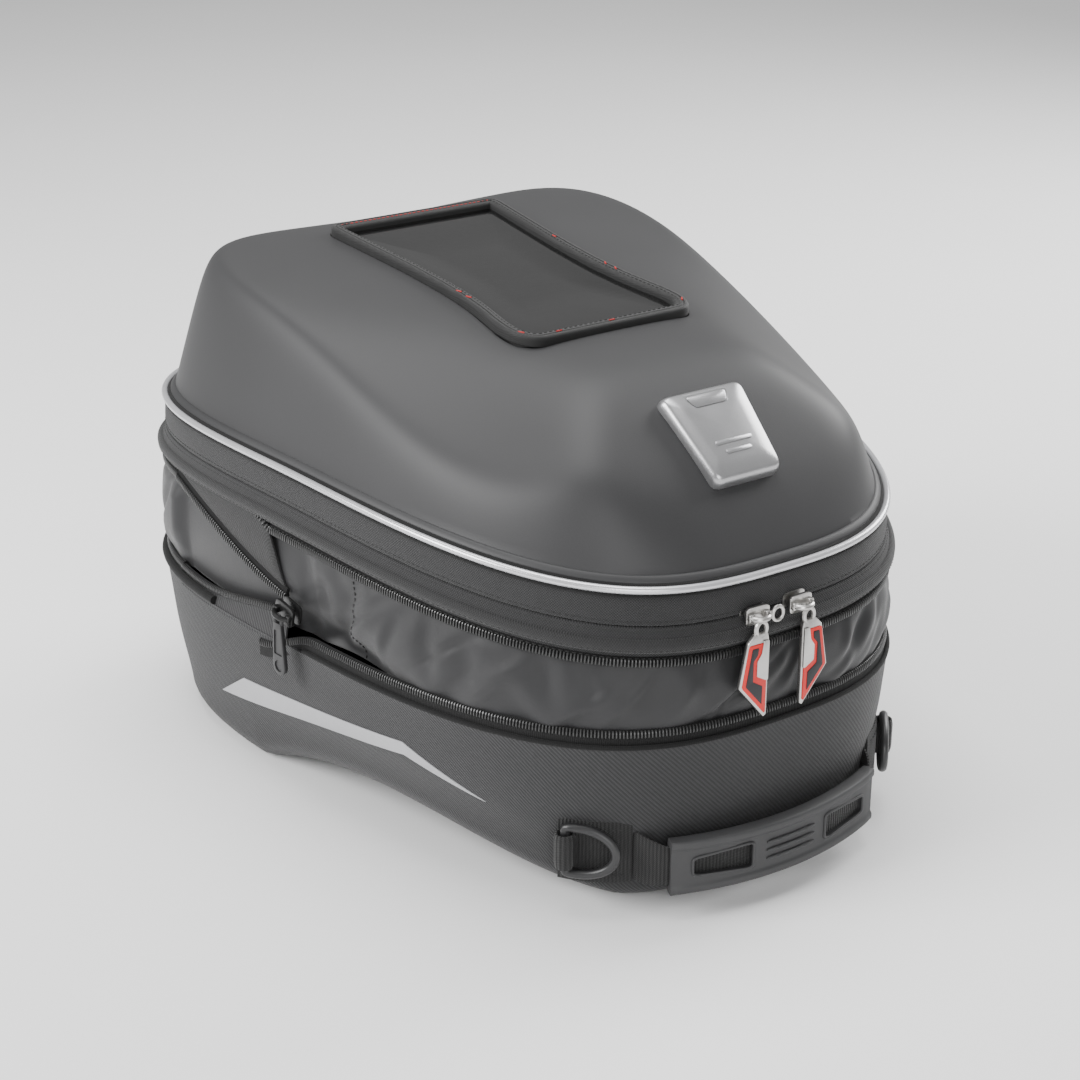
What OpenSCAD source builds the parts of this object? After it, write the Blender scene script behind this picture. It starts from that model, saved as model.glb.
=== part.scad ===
// Expandable tank bag: hard lid, zipped collar, folding gusset and stiff lower shell.
// +Z is up, -Y is the rider's end with the carrying handle, +Y the lid's hinge end.
// The origin is on the floor, under the middle of the shell.

/* [Body outline] */
// Length of the lid seam, rider's end to hinge end
seam_l = 378; // [340:1:400]
// Width that the outline would have at the hinge end with square corners
seam_w = 350; // [310:1:370]
// Narrowing towards the rider's end, as a share of the width
taper = 0.51; // [0.4:0.01:0.55]
// Fullness of the flanks between the two ends
flank_bulge = 0.21; // [0.1:0.01:0.25]
// Squareness of the corners, 2 is an ellipse
corner_back = 2.8; // [2.5:0.1:4]
// Squareness of the corners at the rider's end
corner_front = 2.86; // [2.5:0.01:4]

/* [Heights] */
// Height of the lid seam at mid length
seam_height = 171.6; // [165:0.1:180]
// Rise of the seam towards the hinge end, per mm
seam_rise = 0.036; // [0:0.001:0.05]
// Drop of the seam towards both ends, per mm squared
seam_crown = 0.00024; // [0:0.00001:0.0004]
// Height of the lower shell's rim
rim_z = 84; // [80:1:88]
// Depth from the seam to the main zip
main_zip_depth = 16.7; // [16:0.1:18]
// Depth from the seam to the expansion zip's upper row
upper_row_depth = 33; // [32:0.5:35]

/* [Lid] */
// Height of the lid's flat crown at mid length
crown_z = 238.2; // [232:0.2:242]
// Slope of the crown along the bag
crown_slope = 0.086; // [0.07:0.002:0.1]
// Slope of the face that holds the badge
nose_slope = 0.763; // [0.7:0.001:0.8]
// Half width of the crown at mid length
crown_half_w = 70; // [66:1:74]
// Thickness of the moulded lid
lid_t = 3; // [2.5:0.1:3.5]

/* [Lower shell] */
// Height of the tunnel that clears the fuel tank
arch_h = 24; // [20:1:25]
// Half the length of the tunnel
arch_half = 97; // [90:1:100]
// Middle of the tunnel along the bag
dock_y = -60; // [-64:1:-56]
// Wall and floor thickness
shell_t = 3.5; // [3:0.1:4]

/* [Dock] */
// Radius of the dock's ring bore
dock_bore_r = 31; // [28:0.5:33]
// Outer radius of the dock plate
dock_r = 52; // [50:0.5:52]
// Radius of the screw circle
dock_screw_circle_r = 41.5; // [41:0.5:43]
// Travel of the dock latch
latch_travel = 6; // [4:0.5:6]

/* [Phone pocket] */
// Half width of the pocket's frame at its mouth
pocket_half_w = 52; // [50:0.5:53]
// Half width at the fold line
fold_half_w = 46; // [45:0.5:48]
// Depth of the pocket's tub
tub_depth = 9; // [8:0.5:11]

/* [Handle] */
// Radius of the grip's arc seen from above
grip_arc_r = 161; // [150:1:170]
// Height of the grip
grip_h = 27; // [24:1:28]

/* [Hidden] */
$fn = 48;

half_l = seam_l / 2;
steps = 72;                     // points round the outline
rim_off = 5.5;                  // how far the rim stands outside the lid seam
foot_off = -4;                  // the same at the foot of the wall
foot_z = 15;                    // top of the rounded bottom edge
row_off = 3.9;                  // the upper row's offset outside the seam
lid_inset = 5;                  // the lid's foot, inside the seam
lid_shares = [0.05, 0.3, 0.5, 0.65, 0.78, 0.88, 0.95];
lining_inset = lid_inset + lid_t + 1;
floor_shares = [0.04, 0.2, 0.35, 0.5, 0.65, 0.73, 0.82, 0.92];
floor_top = arch_h + shell_t;
board_t = 2.5;
board_gap = 2.8;                // air between the shell's floor and the board
board_top = floor_top + board_gap + board_t;
dock_z0 = 12;                   // underside of the dock plate
dock_h = 10;
latch_z = dock_z0 + 3.6;
park_x = -5.3;                  // where the two main sliders meet
slider_arc_y = 20;              // centre of the arc that the front of the zip follows
pin_out = 7.8;                  // how far a slider's pin stands off the slider's back
grip_z = 26;
grip_half_angle = 22;
grip_y = -44;                   // centre of the grip's arc
ring_t = 230;                   // outline angle of the left D-ring
ring_z = 33;
ring_off = 5.6;                 // how far the ring's bar stands off the outline
bow_r = 11.6;                   // middle radius of the ring's round bow
bow_x = 12;                     // length of the straight legs between the bar and the bow
exp_slider_y = -5;
exp_slider_z = 104;
// Upper and lower edge of the reflective leaf, as [length, height]
leaf_top = [[-123, 45.4], [-79, 62], [43, 49.5], [70, 31.6]];
leaf_low = [[-123, 45.2], [-79, 55], [43, 36], [70, 31.4]];

// ---- outline and surfaces ----

function sgn(v) = v < 0 ? -1 : 1;
function smooth(u) = let (c = min(1, max(0, u))) c * c * (3 - 2 * c);

// Point of the seam outline at angle t, a squared oval that narrows to the front.
function outline(t) =
  let (c = cos(t), s = sin(t), e = s > 0 ? corner_back : corner_front,
       yy = sgn(s) * pow(abs(s), 2 / e), xx = sgn(c) * pow(abs(c), 2 / e),
       w = seam_w / 2 * (1 - taper * (1 - yy) / 2 + flank_bulge * pow(1 - yy, 2) / 4))
  [xx * w, yy * half_l];

// Outward normal of the outline at angle t.
function normal_at(t) =
  let (d = outline(t + 1) - outline(t - 1)) [d.y, -d.x] / norm(d);

// The outline moved outwards by off.
function wall_pt(t, off) = outline(t) + off * normal_at(t);

// Outline angle of a point of the left flank at length y.
function left_t(y) =
  180 - sgn(y) * asin(pow(abs(y) / half_l, (y > 0 ? corner_back : corner_front) / 2));

function seam_z(y) = seam_height + seam_rise * y - seam_crown * y * y;
function arch(y) =
  let (u = min(1, abs(y - dock_y) / arch_half)) arch_h * pow(1 - pow(u, 6), 2);
function wall_off(z) = foot_off + (rim_off - foot_off) * (z - foot_z) / (rim_z - foot_z);

function sum(v, i = 0) = i < len(v) - 1 ? v[i] + sum(v, i + 1) : v[i];
// The least of some heights, with the creases between them rounded by k.
function soft_min(v, k) = let (m = min(v)) m - k * ln(sum([for (z = v) exp((m - z) / k)]));

// Height of the lid's crown, nose and shoulders.
function lid_top(x, y) =
  let (crown = crown_z + crown_slope * y,
       nose = 219.6 + nose_slope * (y + 124),
       edge = crown_half_w + 0.19 * y + 5.2 * pow(y / 100, 2),
       shoulder = crown + 2.6 + 0.073 * y - (0.31 - 0.0032 * y) * (abs(x) - edge))
  soft_min([crown, nose, shoulder], 5.5);

// Point of the lid: share r of the way from its middle to its foot at angle t.
function lid_pt(t, r, inset, drop) =
  let (n = normal_at(t), foot = wall_pt(t, -inset), mid = [0, -10],
       p = mid + r * (foot - mid), depth = (foot - p) * n,
       lean = n.y > 0 ? 4.15 - 2.2 * n.y * n.y : 4.15 - 2.22 * n.y * n.y,
       wall = seam_z(foot.y) + 3 + drop + lean * (1 - 0.08 * foot.y / half_l) * depth,
       top = soft_min([lid_top(p.x, p.y), wall], 10.9))
  [p.x, p.y, (r == 1 ? wall : min(top, wall)) - drop];

function ring_angles() = [for (i = [0 : steps - 1]) i * 360 / steps];
function flat_ring(off, z) = [for (t = ring_angles()) let (p = wall_pt(t, off)) [p.x, p.y, z]];
function lid_ring(r, inset, drop) = [for (t = ring_angles()) lid_pt(t, r, inset, drop)];
// Ring that follows the arched floor, lifted by up, at share f of the outline.
function floor_ring(off, up, f = 1) =
  [for (t = ring_angles()) let (p = f * wall_pt(t, off)) [p.x, p.y, arch(p.y) + up]];

// Solid through a list of rings. An open list is closed at both ends by a fan.
module loft(rings, closed = false) {
  n = len(rings[0]);
  m = len(rings);
  ends = closed ? [] : [sum(rings[0]) / n, sum(rings[m - 1]) / n];
  sides = [for (i = [0 : m - (closed ? 1 : 2)], j = [0 : n - 1])
    let (a = i * n + j, b = i * n + (j + 1) % n, k = ((i + 1) % m) * n)
    each [[a, k + j, k + (j + 1) % n], [a, k + (j + 1) % n, b]]];
  caps = closed ? [] : [for (j = [0 : n - 1])
    each [[m * n, j, (j + 1) % n], [m * n + 1, (m - 1) * n + (j + 1) % n, (m - 1) * n + j]]];
  polyhedron(points = concat([for (r = rings) each r], ends), faces = concat(sides, caps));
}

// Band round the whole outline. Its profile is [offset, height] points, clockwise.
module seam_band(profile)
  loft([for (t = ring_angles())
    [for (q = profile) let (p = wall_pt(t, q.x)) [p.x, p.y, seam_z(outline(t).y) + q.y]]], true);

// Strip along part of the outline, at height zs[i] above the floor at angle ts[i].
module wall_strip(ts, zs, profile)
  loft([for (i = [0 : len(ts) - 1])
    [for (q = profile) let (p = wall_pt(ts[i], q.x)) [p.x, p.y, zs[i] + q.y]]]);

function box_profile(o0, o1, z0, z1) = [[o1, z1], [o1, z0], [o0, z0], [o0, z1]];

module mirror_copy(right) if (right) mirror([1, 0, 0]) children(); else children();

// ---- lower shell and dock ----

module dock_holes(r, z0, z1)
  for (a = [45 : 90 : 315])
    translate([dock_screw_circle_r * cos(a), dock_y + dock_screw_circle_r * sin(a), z0])
      cylinder(r = r, h = z1 - z0);

module lower_shell() color("#2b2d30") difference() {
  loft(concat(
    [for (f = floor_shares) floor_ring(-18, 0, f)],
    [for (a = [0, 30, 60, 90]) floor_ring(-18 + 14 * sin(a), 14 * (1 - cos(a)))],
    [for (z = [40, 60, rim_z]) flat_ring(wall_off(z), z)],
    [for (z = [rim_z, 60, 40]) flat_ring(wall_off(z) - shell_t, z)],
    [for (a = [90, 45, 0])
      floor_ring(-18 + (14 - shell_t) * sin(a), shell_t + (14 - shell_t) * (1 - cos(a)))],
    [for (i = [1 : len(floor_shares)]) floor_ring(-18, shell_t, floor_shares[len(floor_shares) - i])]));
  dock_holes(2.8, 10, 40);
}

module rim_binding() color("#17181a")
  loft([for (t = ring_angles())
    [for (a = [0 : 45 : 315])
      let (p = wall_pt(t, rim_off - 0.6 - 2.2 * cos(a))) [p.x, p.y, rim_z + 2.5 + 2.2 * sin(a)]]],
    true);

module base_board() color("#3a3a3a") difference() {
  loft(concat(
    [for (f = floor_shares) floor_ring(-18, shell_t + board_gap, f)],
    [for (i = [1 : len(floor_shares)])
      floor_ring(-18, shell_t + board_gap + board_t, floor_shares[len(floor_shares) - i])]));
  dock_holes(2.8, 20, 40);
}

// The latch's nose stands this far into the bore at rest.
latch_nose = 4;
bolt_l = 12;
bolt_y = dock_y - dock_bore_r + latch_nose - bolt_l;
spring_l = latch_travel + 3.4;

module latch_channel() translate([-9, bolt_y - spring_l - 0.2, latch_z - 2.1])
  cube([18, bolt_l + spring_l + 4, 4.2]);

module dock_plate() color("#1c1d1f") difference() {
  translate([0, dock_y, dock_z0]) cylinder(r = dock_r, h = dock_h, $fn = 96);
  translate([0, dock_y, dock_z0 - 1]) cylinder(r = dock_bore_r, h = dock_h + 2, $fn = 96);
  latch_channel();
  translate([0, dock_y - dock_r - 1, latch_z]) rotate([-90, 0, 0]) cylinder(r = 1.8, h = 6);
  dock_holes(2.7, dock_z0 - 1, dock_z0 + dock_h + 1);
  dock_holes(4.9, dock_z0 - 1, dock_z0 + 3.4);
}

module dock_pad() color("#303236")
  translate([0, dock_y, dock_z0 + dock_h + 0.1]) cylinder(r = 36, h = 0.9, $fn = 96);

module dock_backing_ring() color("#8d9094") difference() {
  translate([0, dock_y, board_top + 0.3]) cylinder(r = 46, h = 2, $fn = 96);
  translate([0, dock_y, floor_top]) cylinder(r = 37, h = 10, $fn = 96);
  dock_holes(2.7, floor_top, floor_top + 10);
}

module dock_screws() color("#9a9da1") {
  dock_holes(4.5, dock_z0 + 0.2, dock_z0 + 3.2);
  dock_holes(2.5, dock_z0 + 3.2, board_top + 3.5);
}

module dock_latch() color("#8d9094") {
  translate([-8.7, bolt_y, latch_z - 1.8]) cube([17.4, bolt_l, 3.6]);
  translate([0, dock_y - dock_r - 6, latch_z]) rotate([-90, 0, 0])
    cylinder(r = 1.5, h = bolt_y - dock_y + dock_r + 6.5);
}

// Flat coil spring round the latch's stem, wound slimmer than it is wide.
module latch_spring() color("#b9bcc0") {
  turns = 5;
  wire_r = 0.35;
  length = spring_l - 2 * wire_r - 0.2;
  loft([for (i = [0 : turns * 12])
    let (a = i * 30, y = bolt_y - wire_r - 0.1 - length * i / (turns * 12))
    [for (b = [0 : 60 : 300])
      [(5 + wire_r * cos(b)) * cos(a), y + wire_r * sin(b),
       latch_z + (1.68 + 0.35 * wire_r * cos(b)) * sin(a)]]]);
}

module release_tab() color("#17181a") difference() {
  translate([-8, dock_y - dock_r - 10, latch_z - 1.3]) cube([16, 5, 2.6]);
  translate([0, dock_y - dock_r - 6, latch_z]) rotate([-90, 0, 0]) cylinder(r = 1.5, h = 5);
}

// Reflective leaf on the flank, from its broad hinge-end tip to its long front point.
module reflector(right) color("#b4b6ba") mirror_copy(right)
  loft([for (i = [0 : 16])
    let (y = 70 - 193 * i / 16, z1 = lookup(y, leaf_top), z0 = lookup(y, leaf_low))
    [for (q = [[0.9, z1], [0.9, z0], [0.3, z0], [0.3, z1]])
      let (p = wall_pt(left_t(y), wall_off(q.y) + q.x)) [p.x, p.y, q.y]]]);
module reflector_left() reflector(false);
module reflector_right() reflector(true);

// ---- handle and strap rings ----

// Strap sewn to the front corner, with a loop round the D-ring's bar.
module webbing(right) color("#141516") mirror_copy(right) {
  loft([for (t = [ring_t - 1 : 2.5 : ring_t + 19])
    [for (q = [[2.4, 47], [2.4, 15], [0.4, 15], [0.4, 47]])
      let (p = wall_pt(t, wall_off(q.y) + q.x)) [p.x, p.y, q.y]]]);
  ring_axis() difference() {
    cylinder(r = 5.2, h = 17, center = true);
    cylinder(r = 2.6, h = 20, center = true);
  }
}
module webbing_left() webbing(false);
module webbing_right() webbing(true);

module ring_axis() {
  p = wall_pt(ring_t, ring_off);
  translate([p.x, p.y, ring_z]) rotate([0, 0, atan2(normal_at(ring_t).y, normal_at(ring_t).x) + 90])
    children();
}

// D-shaped ring: a straight bar in the strap's loop and a round bow lying on the strap.
module d_ring(right) color("#3b3d40") mirror_copy(right) ring_axis() {
  cylinder(r = 2.2, h = 2 * bow_r + 4.4, center = true);
  for (side = [-1, 1]) translate([0, 0, side * bow_r]) rotate([0, 90, 0]) cylinder(r = 2.2, h = bow_x);
  translate([bow_x, 0, 0]) rotate([90, 0, 0]) rotate([0, 0, -90]) rotate_extrude(angle = 180)
    translate([bow_r, 0]) circle(r = 2.2);
}
module d_ring_left() d_ring(false);
module d_ring_right() d_ring(true);

module grip_arc(r0, r1, h, half_angle)
  translate([0, grip_y, grip_z]) rotate([0, 0, 270 - half_angle])
    rotate_extrude(angle = 2 * half_angle, $fn = 180) translate([r0, -h / 2]) square([r1 - r0, h]);

module handle_grip() color("#46484b") difference() {
  grip_arc(grip_arc_r - 8, grip_arc_r, grip_h, grip_half_angle);
  grip_arc(grip_arc_r - 5.6, grip_arc_r - 2.4, 20, grip_half_angle + 1);
  for (a = [-13.5, 13.5])
    translate([0, grip_y, grip_z]) rotate([0, 0, 270 + a])
      translate([grip_arc_r - 10, -13, -6]) cube([12, 26, 12]);
}

module handle_webbing() color("#141516")
  grip_arc(grip_arc_r - 5.2, grip_arc_r - 2.8, 19, grip_half_angle + 1.8);

// ---- gusset, expansion zip and collar ----

module gusset() color("#232427")
  loft([for (t = ring_angles())
    let (top = seam_z(outline(t).y) - upper_row_depth - 3, bottom = rim_z + 10)
    [for (q = [[1.5, top], [-1.5, (top + bottom) / 2], [1, bottom],
               [-0.8, bottom], [-3.3, (top + bottom) / 2], [-0.3, top]])
      let (p = wall_pt(t, q.x)) [p.x, p.y, q.y]]], true);

row_start_t = left_t(21);
row_end_t = 360 + left_t(100);
row_angles = [for (i = [0 : 64]) row_start_t + (row_end_t - row_start_t) * i / 64];
tail_ys = [for (i = [0 : 10]) 98 - 94 * i / 10];

module expansion_row_lower() color("#1d1e20")
  wall_strip(row_angles, [for (t = row_angles) rim_z + 5], box_profile(0.8, 5.2, 0.1, 4));

module expansion_tail_lower() color("#1d1e20")
  wall_strip([for (y = tail_ys) left_t(y)],
    [for (y = tail_ys) rim_z + 5 + 11 * smooth((70 - y) / 66)], box_profile(1.2, 5.2, 0.1, 4));

module expansion_row_upper() color("#1d1e20")
  wall_strip(row_angles, [for (t = row_angles) seam_z(outline(t).y) - upper_row_depth],
    box_profile(row_off - 3, row_off, -2, 2));

module expansion_tail_upper() color("#1d1e20")
  wall_strip([for (y = tail_ys) left_t(y)],
    [for (y = tail_ys)
      let (a = seam_z(100) - upper_row_depth) a + (exp_slider_z + 6 - a) * smooth((100 - y) / 96)],
    box_profile(1.6, 5.2, -2, 2));

module on_left_flank(y, off)
  let (p = wall_pt(left_t(y), off))
    translate([p.x, p.y, 0]) rotate([0, 0, atan2(normal_at(left_t(y)).y, normal_at(left_t(y)).x)])
      children();

// Zip slider with +X outwards and Y along the zip: a body, two lugs and the puller's pin.
module zip_slider(w, h, pin_z) {
  translate([0, -w / 2, -h / 2]) cube([4, w, h]);
  for (side = [-1, 1]) translate([3.5, side * 3.4 - 0.9, pin_z - 1.4]) cube([pin_out - 2.1, 1.8, 2.8]);
  translate([pin_out, 0, pin_z]) rotate([90, 0, 0]) cylinder(r = 1, h = 8.4, center = true);
}

// Eye of a puller, centred on the pin.
module puller_eye() {
  rotate([90, 0, 0]) cylinder(r = 2.3, h = 4.4, center = true);
  translate([-1.2, -2.2, -4]) cube([2.4, 4.4, 4]);
}
module pin_bore() rotate([90, 0, 0]) cylinder(r = 1.3, h = 8, center = true);

module expansion_slider() color("#1b1c1e") on_left_flank(exp_slider_y, 5.6)
  translate([0, 0, exp_slider_z]) zip_slider(11, 12, -1);

module expansion_puller() color("#26272a") on_left_flank(exp_slider_y, 5.6)
  translate([pin_out, 0, exp_slider_z - 1]) difference() {
    union() {
      puller_eye();
      translate([-1.2, -5.4, -25]) cube([2.4, 10.8, 22]);
      translate([-1.2, 0, -25]) rotate([0, 90, 0]) cylinder(r = 5.4, h = 2.4);
    }
    pin_bore();
    translate([-2, 0, -25]) rotate([0, 90, 0]) cylinder(r = 2.6, h = 4);
    translate([-2, -2.6, -17]) cube([4, 5.2, 11]);
  }

module collar_band() color("#2b2c2f")
  seam_band([[0.4, -20.2], [3.2, -upper_row_depth + 2.3], [0.4, -upper_row_depth + 2.3],
    [-2.2, -20.2]]);

module collar_flap() color("#222326")
  seam_band([[2.6, -24], [5.2, -upper_row_depth + 2.6], [4.2, -upper_row_depth + 2.4], [1.9, -24.4]]);

zip_start_t = 118;
zip_angles = [for (i = [0 : 64]) zip_start_t + (540 - 2 * zip_start_t) * i / 64];

module main_zip(z0, z1, o0, o1)
  wall_strip(zip_angles, [for (t = zip_angles) seam_z(outline(t).y)], box_profile(o0, o1, z0, z1));

module main_zip_lower() color("#1a1b1d")
  main_zip(-20, -main_zip_depth - 0.2, -1.8, 0.9);

module main_zip_upper() color("#1a1b1d")
  main_zip(-main_zip_depth + 0.2, -13.4, -1.8, 0.9);

module lid_hinge_strip() color("#232427") {
  ts = [for (i = [0 : 20]) 118 - 56 * i / 20];
  wall_strip([for (i = [20 : -1 : 0]) ts[i]], [for (i = [20 : -1 : 0]) seam_z(outline(ts[i]).y)],
    box_profile(-1.8, 0.9, -19.8, -13.6));
}

// ---- lid ----

module lid_band() color("#2b2c2f")
  seam_band([[-0.6, -3], [0.4, -13.2], [-2.6, -13.2], [-3.6, -3]]);

module lid_piping() color("#c9cbce")
  seam_band([[0.4, 2.2], [1.6, 0], [0.2, -2.8], [-4, -2.8], [-5.6, 0], [-4.4, 2.6]]);

module lid_shell() color("#55575a") difference() {
  loft(concat(
    [for (r = lid_shares) lid_ring(r, lid_inset + lid_t, lid_t)],
    [lid_ring(1, lid_inset + lid_t, lid_t)],
    [for (r = [1, 0.97, 0.93, 0.88, 0.82, 0.75, 0.67, 0.58, 0.48, 0.36, 0.2, 0.05])
      lid_ring(r, lid_inset, 0)]));
  on_crown() translate([-45.4, -60.4, -30]) cube([90.8, tub_l + 0.8, 60]);
  on_crown() translate([0, 0, -frame_sink]) linear_extrude(20) difference() {
    frame_outline(0.3);
    frame_outline(-11);
  }
}

module lid_lining() color("#3a3b3e") difference() {
  loft(concat(
    [for (r = lid_shares) lid_ring(r, lining_inset + 1, lid_t + 3.3)],
    [for (i = [1 : len(lid_shares)])
      lid_ring(lid_shares[len(lid_shares) - i], lining_inset, lid_t + 2.3)]));
  on_crown() translate([-45.4, -60.4, -30]) cube([90.8, tub_l + 0.8, 60]);
}

// Frame of the crown's plane, y running up its slope.
module on_crown() translate([0, 0, crown_z]) rotate([atan(crown_slope), 0, 0]) children();

// Frame of the nose, at the middle of the badge.
module on_nose() translate([0, -142.5, 219.6 - nose_slope * 18.5]) rotate([atan(nose_slope), 0, 0])
  children();

module badge_outline(grow) polygon([[-23 - grow, 19], [-21 - grow, 21 + grow], [21 + grow, 21 + grow],
  [23 + grow, 19], [18 + grow, -25], [16 + grow, -27 - grow], [-16 - grow, -27 - grow],
  [-18 - grow, -25]]);

module badge() color("#b9babd") on_nose() difference() {
  hull() {
    translate([0, 0, 0.4]) linear_extrude(1) badge_outline(0);
    translate([0, 0, 6]) linear_extrude(0.6) badge_outline(-2.4);
  }
  translate([0, 0, 5.6]) linear_extrude(3) polygon([[-9, 19], [9, 19], [7, 12], [-7, 12]]);
}

tub_l = 164;
module tub_outline(shrink)
  translate([-45 + shrink, -60 + shrink]) square([90 - 2 * shrink, tub_l - 2 * shrink]);

module pocket_tub() color("#1b1b1d") on_crown() translate([0, 0, -frame_sink]) difference() {
  translate([0, 0, -tub_depth - 2]) linear_extrude(tub_depth + 2) tub_outline(0);
  translate([0, 0, -tub_depth]) linear_extrude(tub_depth + 2) tub_outline(1.6);
}

// The frames stand in a rebate of the lid, this deep under the crown's plane.
frame_sink = 1.6;
frame_top = 3.7;
fold_y = -3;
module frame_outline(grow) polygon([[-pocket_half_w - grow, 114 + grow], [-fold_half_w - grow, 24],
  [-fold_half_w - grow, -12], [-51 - grow, -54], [-45 - grow, -66 - grow], [45 + grow, -66 - grow],
  [51 + grow, -54], [fold_half_w + grow, -12], [fold_half_w + grow, 24],
  [pocket_half_w + grow, 114 + grow]]);

module frame_part(y0, y1) on_crown() translate([0, 0, 0.5 - frame_sink])
  linear_extrude(frame_top + frame_sink - 0.5) difference() {
  intersection() {
    frame_outline(0);
    translate([-60, y0]) square([120, y1 - y0]);
  }
  frame_outline(-8);
}

module pocket_front_frame() color("#2a2b2d") frame_part(-70, fold_y - 0.3);

module pocket_flap_frame() color("#2a2b2d") frame_part(fold_y, 118);

module pocket_window() color("#20242a80") on_crown() translate([0, 0, 0.1 - frame_sink])
  linear_extrude(0.3) frame_outline(-5);

// ---- sliders ----

module on_front(x, off) {
  a = asin(x / (half_l + slider_arc_y));
  translate([0, slider_arc_y, 0]) rotate([0, 0, a])
    translate([0, -(half_l + slider_arc_y + off), 0]) children();
}

main_slider_off = 2.4;
main_slider_z = seam_z(-half_l) - main_zip_depth;

module on_slider(side) on_front(park_x + side * 11.5, main_slider_off)
  translate([0, 0, main_slider_z]) rotate([0, 0, -90]) children();

module main_slider_left() color("#a9abae") on_slider(-1) zip_slider(12, 8, -1);
module main_slider_right() color("#a9abae") on_slider(1) zip_slider(12, 8, -1);

// Blade of a puller: straight inner edge, slanted outer corner, pointed tip.
module blade() polygon([[-2.2, -2.9], [8, -2.9], [13, -29.5], [-1.2, -46.2], [-2.2, -46.2]]);

// The blade below its eye, drawn in by s.
module blade_face(s) polygon([[-2.2 + s, -9], [9.15 - 1.02 * s, -9],
  [13 - 1.07 * s, -29.5 + 0.28 * s], [-2.2 + s, -47.4 + 2.73 * s]]);

// Puller's frame, +X outwards from the other puller, Y up, Z off the bag.
module on_puller(side) on_slider(side) translate([pin_out, 0, -1])
  rotate([0, 90, 0]) rotate([0, 0, 90]) mirror([side < 0 ? 1 : 0, 0, 0]) children();

module puller(side) color("#8a2b26") on_puller(side) difference() {
  union() {
    translate([0, 0, -1.2]) linear_extrude(2.4) blade();
    rotate([0, 90, 0]) cylinder(r = 2.3, h = 4.4, center = true);
    translate([-2.2, -4, -1.2]) cube([4.4, 4, 2.4]);
  }
  rotate([0, 90, 0]) cylinder(r = 1.3, h = 8, center = true);
  translate([0, 0, 0.4]) linear_extrude(3) blade_face(2);
}
module puller_left() puller(-1);
module puller_right() puller(1);

module puller_inlay(side) color("#26272a") on_puller(side) translate([0, 0, 0.5])
  linear_extrude(0.8) blade_face(2.3);
module puller_inlay_left() puller_inlay(-1);
module puller_inlay_right() puller_inlay(1);

lower_shell();
rim_binding();
base_board();
dock_plate();
dock_pad();
dock_backing_ring();
dock_screws();
dock_latch();
latch_spring();
release_tab();
reflector_left();
reflector_right();
webbing_left();
webbing_right();
handle_webbing();
handle_grip();
d_ring_left();
d_ring_right();
gusset();
expansion_row_lower();
expansion_tail_lower();
expansion_row_upper();
expansion_tail_upper();
expansion_slider();
expansion_puller();
collar_band();
collar_flap();
main_zip_lower();
main_zip_upper();
lid_hinge_strip();
lid_band();
lid_piping();
lid_shell();
lid_lining();
badge();
pocket_tub();
pocket_front_frame();
pocket_flap_frame();
pocket_window();
main_slider_left();
main_slider_right();
puller_left();
puller_right();
puller_inlay_left();
puller_inlay_right();
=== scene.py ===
"""Looks of an expandable motorcycle tank bag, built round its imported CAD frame.

Lengths are in millimetres until a mesh is made. +Z is up, -Y is the rider's end, and an
outline angle t runs anticlockwise from +X round the bag, seen from above.
"""
import math

import bmesh
import bpy
import numpy as np
from mathutils import Matrix, Vector


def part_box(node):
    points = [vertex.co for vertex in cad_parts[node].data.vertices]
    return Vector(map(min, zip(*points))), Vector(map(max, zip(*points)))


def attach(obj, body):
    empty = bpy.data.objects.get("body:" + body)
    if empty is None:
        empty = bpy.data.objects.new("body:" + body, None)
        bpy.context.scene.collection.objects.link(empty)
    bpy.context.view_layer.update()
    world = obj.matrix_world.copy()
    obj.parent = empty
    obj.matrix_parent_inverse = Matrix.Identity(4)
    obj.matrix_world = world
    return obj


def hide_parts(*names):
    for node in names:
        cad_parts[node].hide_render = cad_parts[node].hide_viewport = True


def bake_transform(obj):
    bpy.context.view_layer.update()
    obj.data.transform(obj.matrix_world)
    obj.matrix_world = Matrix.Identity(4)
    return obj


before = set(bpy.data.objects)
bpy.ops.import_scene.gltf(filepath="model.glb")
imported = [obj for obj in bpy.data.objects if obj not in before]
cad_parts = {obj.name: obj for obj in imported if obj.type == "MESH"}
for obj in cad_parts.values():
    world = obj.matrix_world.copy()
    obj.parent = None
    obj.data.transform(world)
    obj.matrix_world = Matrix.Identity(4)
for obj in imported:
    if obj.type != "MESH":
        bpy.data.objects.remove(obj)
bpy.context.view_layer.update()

MM = 0.001


def node_box(node):
    """Lowest and highest corner of a CAD node, in mm."""
    lo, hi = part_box(node)
    return np.array(lo) / MM, np.array(hi) / MM


# ---- the bag's driving shape ----

HALF_L = node_box("lid_band")[1][1] - 0.4  # the lid band stands 0.4 outside the seam
SEAM_W = 350.0
TAPER = 0.51
BULGE = 0.21
CORNER_BACK = 2.8
CORNER_FRONT = 2.86
RIM_Z = node_box("lower_shell")[1][2]
RIM_OFF = 5.5
FOOT_OFF = -4.0
FOOT_Z = 15.0
DOCK_Y = float(np.mean([corner[1] for corner in node_box("dock_plate")]))
ARCH_H = 24.0
ARCH_HALF = 97.0
EDGE_ARCH_H = 21.0
EDGE_ARCH_HALF = 105.0
SHELL_T = 3.5
CROWN_Z = 238.2
CROWN_SLOPE = 0.086
NOSE_SLOPE = 0.763
LID_INSET = 5.0
LID_T = 3.0
ROW_DEPTH = 33.0
TAIL_BACK = 98.0
TAIL_FRONT = 2.0


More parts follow.
